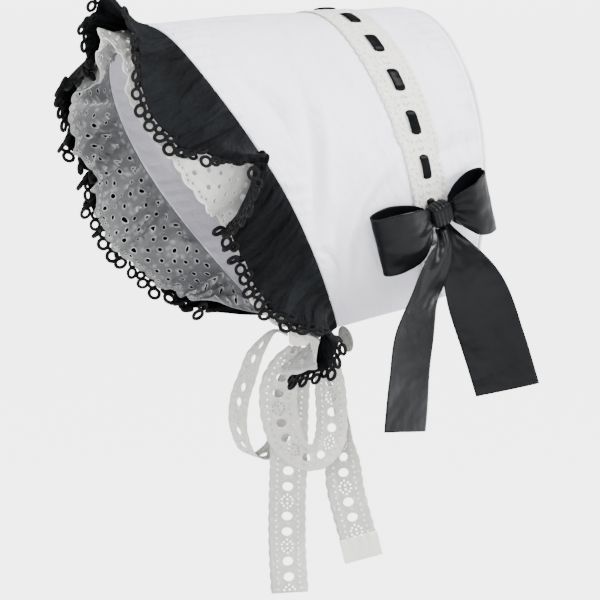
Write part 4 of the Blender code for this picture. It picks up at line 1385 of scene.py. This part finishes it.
def tape_holes():
    """Two slots, a cluster of dots between two pairs, and a row of dots on both sides."""
    middle, holes = TIE_PITCH / 2, []
    for way in (-1, 1):
        holes.append(Hole(middle + way * 6.2, 0, 3.5, 4.2))
    for along, across in ((1.6, 0), (34.4, 0), (3.6, 2.6), (3.6, -2.6), (32.4, 2.6), (32.4, -2.6), (5.4, 0.2),
                          (30.6, -0.2), (1.5, 4.2), (1.5, -4.2), (34.5, 4.2), (34.5, -4.2)):
        holes.append(Hole(along, across, 0.85, 0.85))
    for side in (-1, 1):
        for step in range(8):
            holes.append(Hole(2.25 + 4.5 * step, side * (8.3 + 0.5 * (step % 2)), 0.6, 0.6))
    return holes


tape_scallops = scallops(TIE_PITCH, 0.8, 4)
tape_repeat = lace_repeat("tape_repeat", TIE_PITCH, -15, 15, tape_scallops, tape_scallops, tape_holes(),
                          spacing=2.6)


# %% Laying the tapes
def lace_ribbon(name, node, stops, ripple):
    """A tape through its stops, narrowed in folds where its stops are narrow."""
    hanging = Hanging(stops)
    data = lace_tape(name, tape_repeat, TIE_PITCH * MM, 0, hanging.length, TIE_MARGIN, shaded_tie_lace)

    def surface(length, across):
        share = across / TAPE_WIDTH
        width = hanging.axes(length)[4]
        pinched = np.clip(1 - width / TAPE_WIDTH, 0, 1)
        folds = 1.6 * MM * pinched * np.sin(share * 13 + length / (30 * MM))
        waves = ripple * np.sin(length / (16 * MM)) * share * 2
        waves += 0.3 * MM * np.sin(length / (4.5 * MM)) * np.abs(share)
        return hanging.point(length, share, folds + waves)

    rims = lay_lace(data, surface)
    item = finish_piece(name, data, shaded_tie_lace, "white_lace", node)
    thicken(item, TAPE_CLOTH, 0, rims, 0.55)
    print("%s: %.0f mm of tape" % (name, hanging.length / MM))


for part, rows, ripple in (("side_loop", SIDE_LOOP, 0.6 * MM), ("middle_loop", MIDDLE_LOOP, 0.6 * MM),
                           ("left_tail", LEFT_TAIL, 1.0 * MM), ("right_tail", RIGHT_TAIL, 0.7 * MM)):
    lace_ribbon("tape_" + part, "tie_" + part, tie_stops(rows), ripple)

# %% The straps and the tie's knot
STRAP_DEPTH, STRAP_PLACES = 0.13, (0.9, 0.96)
STRAP_INSIDE = WALL + 1.9 * MM
for part, way in (("strap_left", 1), ("strap_right", -1)):
    stops = []
    for place in STRAP_PLACES:
        where = np.array([way * place]), np.array([STRAP_DEPTH])
        along, outward, back = (axis[0] for axis in crown_axes(*where))
        stops.append((crown_cloth(*where)[0] - outward * STRAP_INSIDE, back, 24 * MM))
    inner = stops[-1][0]
    stops.append((inner + np.array([-way * 8, -3, -8]) * MM, (0, 1, 0), 24 * MM))
    stops.append(((inner + TIE_KNOT) / 2 + DOWN * MM, (way * 0.2, 1, 0), 18 * MM))
    for away, width in ((9 * MM, 13 * MM), (0.8 * MM, 10 * MM)):
        face = TIE_KNOT + out_way * way * (TIE_KNOT_SIZE[0] / 2 + away) - DOWN * 3 * MM
        stops.append((face, across_way, width))
    lace_ribbon("tape_" + part, "tie_" + part, stops, 0.3 * MM)
wrapped_knot("tie_knot_wrap", "tie_knot", TIE_KNOT_SIZE, (out_way, across_way, -DOWN), TIE_KNOT, band_lace,
             "white_lace", creases=13)

# %% [markdown]
# ## The tie's hem and the tab
# One tie ends in a folded strip of plain cream cotton. It is a double layer with a rounded fold, so it is a
# thicker sheet with soft edges. A small ribbed tab hangs at the left foot.

# %% The hem
HEM_WIDTH, HEM_CLOTH, HEM_EDGE = 31 * MM, 2.0 * MM, 0.7 * MM
(before, *_), (end, side, _) = tie_stops(RIGHT_TAIL)[-2:]
onward = unit(end - before)
hem_line = Hanging([(end + onward * way * MM, side, HEM_WIDTH) for way in (0.3, 7, 13, 19)])


def hem_surface(length, share):
    """The strip's cloth, puckered beside the seam that holds it."""
    pucker = 0.35 * MM * np.sin(share * 26) * np.exp(-length / (5 * MM))
    return hem_line.point(length, share + 0.008 * np.sin(length / (3 * MM)), pucker)


us, vs = np.linspace(0, hem_line.length, 25), np.linspace(-0.5, 0.5, 33)
hem = grid_piece("tie_hem_cotton", "tie_hem", us, vs, hem_surface, us, vs * HEM_WIDTH, cream_cotton,
                 "cream_cotton")
thicken(hem, HEM_CLOTH, 0)
rounded = hem.modifiers.new("Edges", "BEVEL")
rounded.width, rounded.segments = HEM_EDGE, 2
rounded.limit_method, rounded.angle_limit = "ANGLE", math.radians(50)
print("hem: %.0f mm long" % (hem_line.length / MM))

# %% The tab
TAB_SIZE = (3.4 * MM, 12 * MM, 22 * MM)
TAB_TILT = math.radians(25)
TAB_RIBS = 5
tab_foot = crown_point(np.array([1.0]), np.array([0.06]))[0]
tab_reach = math.hypot(TAB_SIZE[2] * math.cos(TAB_TILT), TAB_SIZE[1] * math.sin(TAB_TILT)) / 2
tab_middle = tab_foot + [-WALL / 2, 0, -tab_reach - 2 * SEAM_GAP]
turn = np.array(Matrix.Rotation(TAB_TILT, 3, "X"))


def tab_surface(round_it, height):
    """A tilted rounded block with ribs from top to bottom."""
    level = np.cos(height)
    rib = 1 + 0.3 * np.cos(round_it * 2 * TAB_RIBS) * level
    local = np.stack([TAB_SIZE[0] * np.cos(round_it) * level * rib, TAB_SIZE[1] * np.sin(round_it) * level,
                      TAB_SIZE[2] * np.sin(height)], axis=-1) / 2
    return tab_middle + local @ turn.T


us, vs = np.linspace(0, 2 * math.pi, 81), np.linspace(-math.pi / 2, math.pi / 2, 33)
data = grid_mesh("ribbed_tab_moulding", us, vs, tab_surface, us * MM, vs * MM)
close_seams(data, 0.005 * MM)
finish_piece("ribbed_tab_moulding", data, grey_plastic, "grey_plastic", "ribbed_tab")
print("tab:", len(data.polygons), "faces")

# %% [markdown]
# ## Stitches
# The crown is topstitched beside both seams. Each stitch is a short thread that dips at its ends. They repeat
# along a path on the cloth, so a Geometry Nodes group sets one stretched ball on each point of that path.


# %% Topstitching
STITCH_PITCH, STITCH_LENGTH, STITCH_THREAD = 2.9 * MM, 2.3 * MM, 0.3 * MM
STITCH_SPREAD = 0.1


def stitch_group():
    """A Geometry Nodes group that sets a stitch on each point."""
    group, tree = group_with("topstitch", {
        "Length": ("NodeSocketFloat", 0.002), "Thread": ("NodeSocketFloat", 0.0003),
        "Seed": ("NodeSocketInt", 5), "Finish": ("NodeSocketMaterial", None)})
    start = tree.node("NodeGroupInput")
    ball = tree.node("GeometryNodeMeshUVSphere", values={"Segments": 6, "Rings": 5, "Radius": 1.0})
    thread = start.output("Thread")
    size = tree.node("ShaderNodeCombineXYZ", values={
        "X": start.output("Length") * 0.5, "Y": thread, "Z": thread})
    stitch = tree.node("GeometryNodeTransform", values={"Geometry": ball, "Scale": size})
    turned_to_cloth(tree, start, stitch, STITCH_SPREAD, start.output("Seed"))
    return group


def topstitch(name, line, across):
    """Stitches along a line of points on the cloth."""
    lengths = lengths_along(line)
    spots = np.arange(STITCH_PITCH, lengths[-1] - STITCH_PITCH, STITCH_PITCH)

    def at(where, table):
        return np.stack([np.interp(where, lengths, column) for column in table.T], axis=-1)

    along = unit(at(spots + MM, line) - at(spots - MM, line))
    stitches = oriented_points(name, at(spots, line), along, unit(at(spots, across)))
    data = apply_group(name, stitches, STITCH, {
        "Length": STITCH_LENGTH, "Thread": STITCH_THREAD, "Seed": 5, "Finish": white_cotton})
    finish_piece(name, data, white_cotton, "white_cotton")
    print("%s: %d stitches" % (name, len(spots)))


STITCH = stitch_group()
us = np.linspace(-0.995, 0.995, 1500)
for name, away in (("front_topstitch", 5 * MM), ("back_topstitch", CROWN_LENGTH - 4 * MM)):
    depth = np.full_like(us, away / CROWN_LENGTH)
    topstitch(name, crown_cloth(us, depth, 0.1 * MM), crown_axes(us, depth)[2])

# %% [markdown]
# ## Light, floor and camera
# The photograph is a studio shot on white. White cloth on white shows only by its creases, so one strong soft
# light comes from behind the left side and grazes the crown, and a weak key near the camera opens the
# shadows. The floor and the low wall round it glow, as a lit studio does, but under the hat the floor is
# painted dull, a painted shade with a darker colour and less glow: a bright floor there would light every
# crease from below and flatten it. The camera is far away with a long lens, at 56 degrees round from the
# front and slightly above.

# %% Light
def direction(azimuth, elevation):
    """The way towards a point in the sky, in degrees, with the azimuth from the hat's front to its left."""
    turn, height = math.radians(azimuth), math.radians(elevation)
    return Vector((math.sin(turn) * math.cos(height), -math.cos(turn) * math.cos(height), math.sin(height)))


def place_item(name, data, place, towards):
    """Puts a light or a camera at a place, looking towards a way."""
    item = add_object(name, data)
    item.location = place
    item.rotation_mode = "QUATERNION"
    item.rotation_quaternion = towards.to_track_quat("-Z", "Y")
    return item


SKY_STRENGTH = 0.36
TARGET = Vector((0, -0.009, -0.221))
CAMERA_WAY = direction(56, 5.5)
WINDOW_WAY, WINDOW_STRENGTH, WINDOW_SPREAD = direction(132, 46), 10.0, math.radians(30)
KEY_SIZE, KEY_POWER = 0.6, 20
KEY_PLACE = CAMERA_WAY * 1.1 - Vector((0.224, 0.332, -1.4))
world = bpy.data.worlds.new("studio")
bpy.context.scene.world = world
world.use_nodes = True
sky = world.node_tree.nodes["Background"].inputs
sky["Color"].default_value, sky["Strength"].default_value = (1.0, 1.0, 1.0, 1), SKY_STRENGTH
window = bpy.data.lights.new("high_window", "SUN")
window.energy, window.angle = WINDOW_STRENGTH, WINDOW_SPREAD
place_item("high_window", window, (0, 0, 0), -WINDOW_WAY)
key = bpy.data.lights.new("key", "AREA")
key.shape, key.size, key.energy = "DISK", KEY_SIZE, KEY_POWER
place_item("key", key, TARGET + KEY_PLACE, -KEY_PLACE)
print("lights:", [item.name for item in bpy.data.lights])

# %% Floor and wall
FLOOR_DROP, FLOOR_RADIUS, WALL_TOP = 0.56, 60, 7
DULL_SPREAD = 0.30
FLOOR_GLOW, WALL_GLOW = 2.4, 4.6
SIDES = 64
turns = [2 * math.pi * side / SIDES for side in range(SIDES)]
ring = [(FLOOR_RADIUS * math.cos(turn), FLOOR_RADIUS * math.sin(turn)) for turn in turns]
floor_data = bpy.data.meshes.new("floor")
floor_data.from_pydata([(x, y, -FLOOR_DROP) for x, y in ring], [], [tuple(range(SIDES))])
wall_data = bpy.data.meshes.new("studio_wall")
wall_data.from_pydata([(x, y, z) for z in (-FLOOR_DROP, WALL_TOP) for x, y in ring], [], [
    (side, SIDES + side, SIDES + (side + 1) % SIDES, (side + 1) % SIDES) for side in range(SIDES)])

# Painted shade: the floor's colour and glow are darkest right under the hat and ease to their full values about
# 0.65 m out.
floor_finish, tree, shader = new_finish("pale_floor", (0.85, 0.85, 0.85), 0.9, Emission_Strength=FLOOR_GLOW)
away = tree.node("ShaderNodeVectorMath", {"operation": "LENGTH"}, {
    0: tree.node("ShaderNodeTexCoord", output="Object")}, output="Value")
far = tree.node("ShaderNodeMapRange", {"interpolation_type": "SMOOTHSTEP"}, {
    "Value": away, "From Min": FLOOR_DROP, "From Max": FLOOR_DROP + DULL_SPREAD})
wash(tree, shader, far, (0.42, 0.42, 0.42), (0.85, 0.85, 0.85))
wash(tree, shader, far, (0.22, 0.22, 0.22), (1.0, 1.0, 1.0), "Emission Color")
wall_finish = new_finish("pale_wall", (0.1, 0.1, 0.1), 0.9, Emission_Color=(1, 1, 1, 1),
                         Emission_Strength=WALL_GLOW)[0]
for name, data, finish in (("floor", floor_data, floor_finish), ("studio_wall", wall_data, wall_finish)):
    data.materials.append(finish)
    add_object(name, data)
print("floor and wall:", SIDES, "sides")

# %% Camera
LENS, SENSOR = 230.8, 36.0
CAMERA_DISTANCE = 3.0
camera_data = bpy.data.cameras.new("camera")
camera_data.lens, camera_data.sensor_width = LENS, SENSOR
camera = place_item("camera", camera_data, TARGET + CAMERA_WAY * CAMERA_DISTANCE, -CAMERA_WAY)
bpy.context.scene.camera = camera
print("camera at", [round(x, 3) for x in camera.location])

# %% [markdown]
# ## Pieces
# The pieces that dress the bonnet are counted. The dressed bonnet has to stay within the solids' box, apart
# from what cloth may stand proud.

# %% Pieces
print("pieces:", len(pieces))
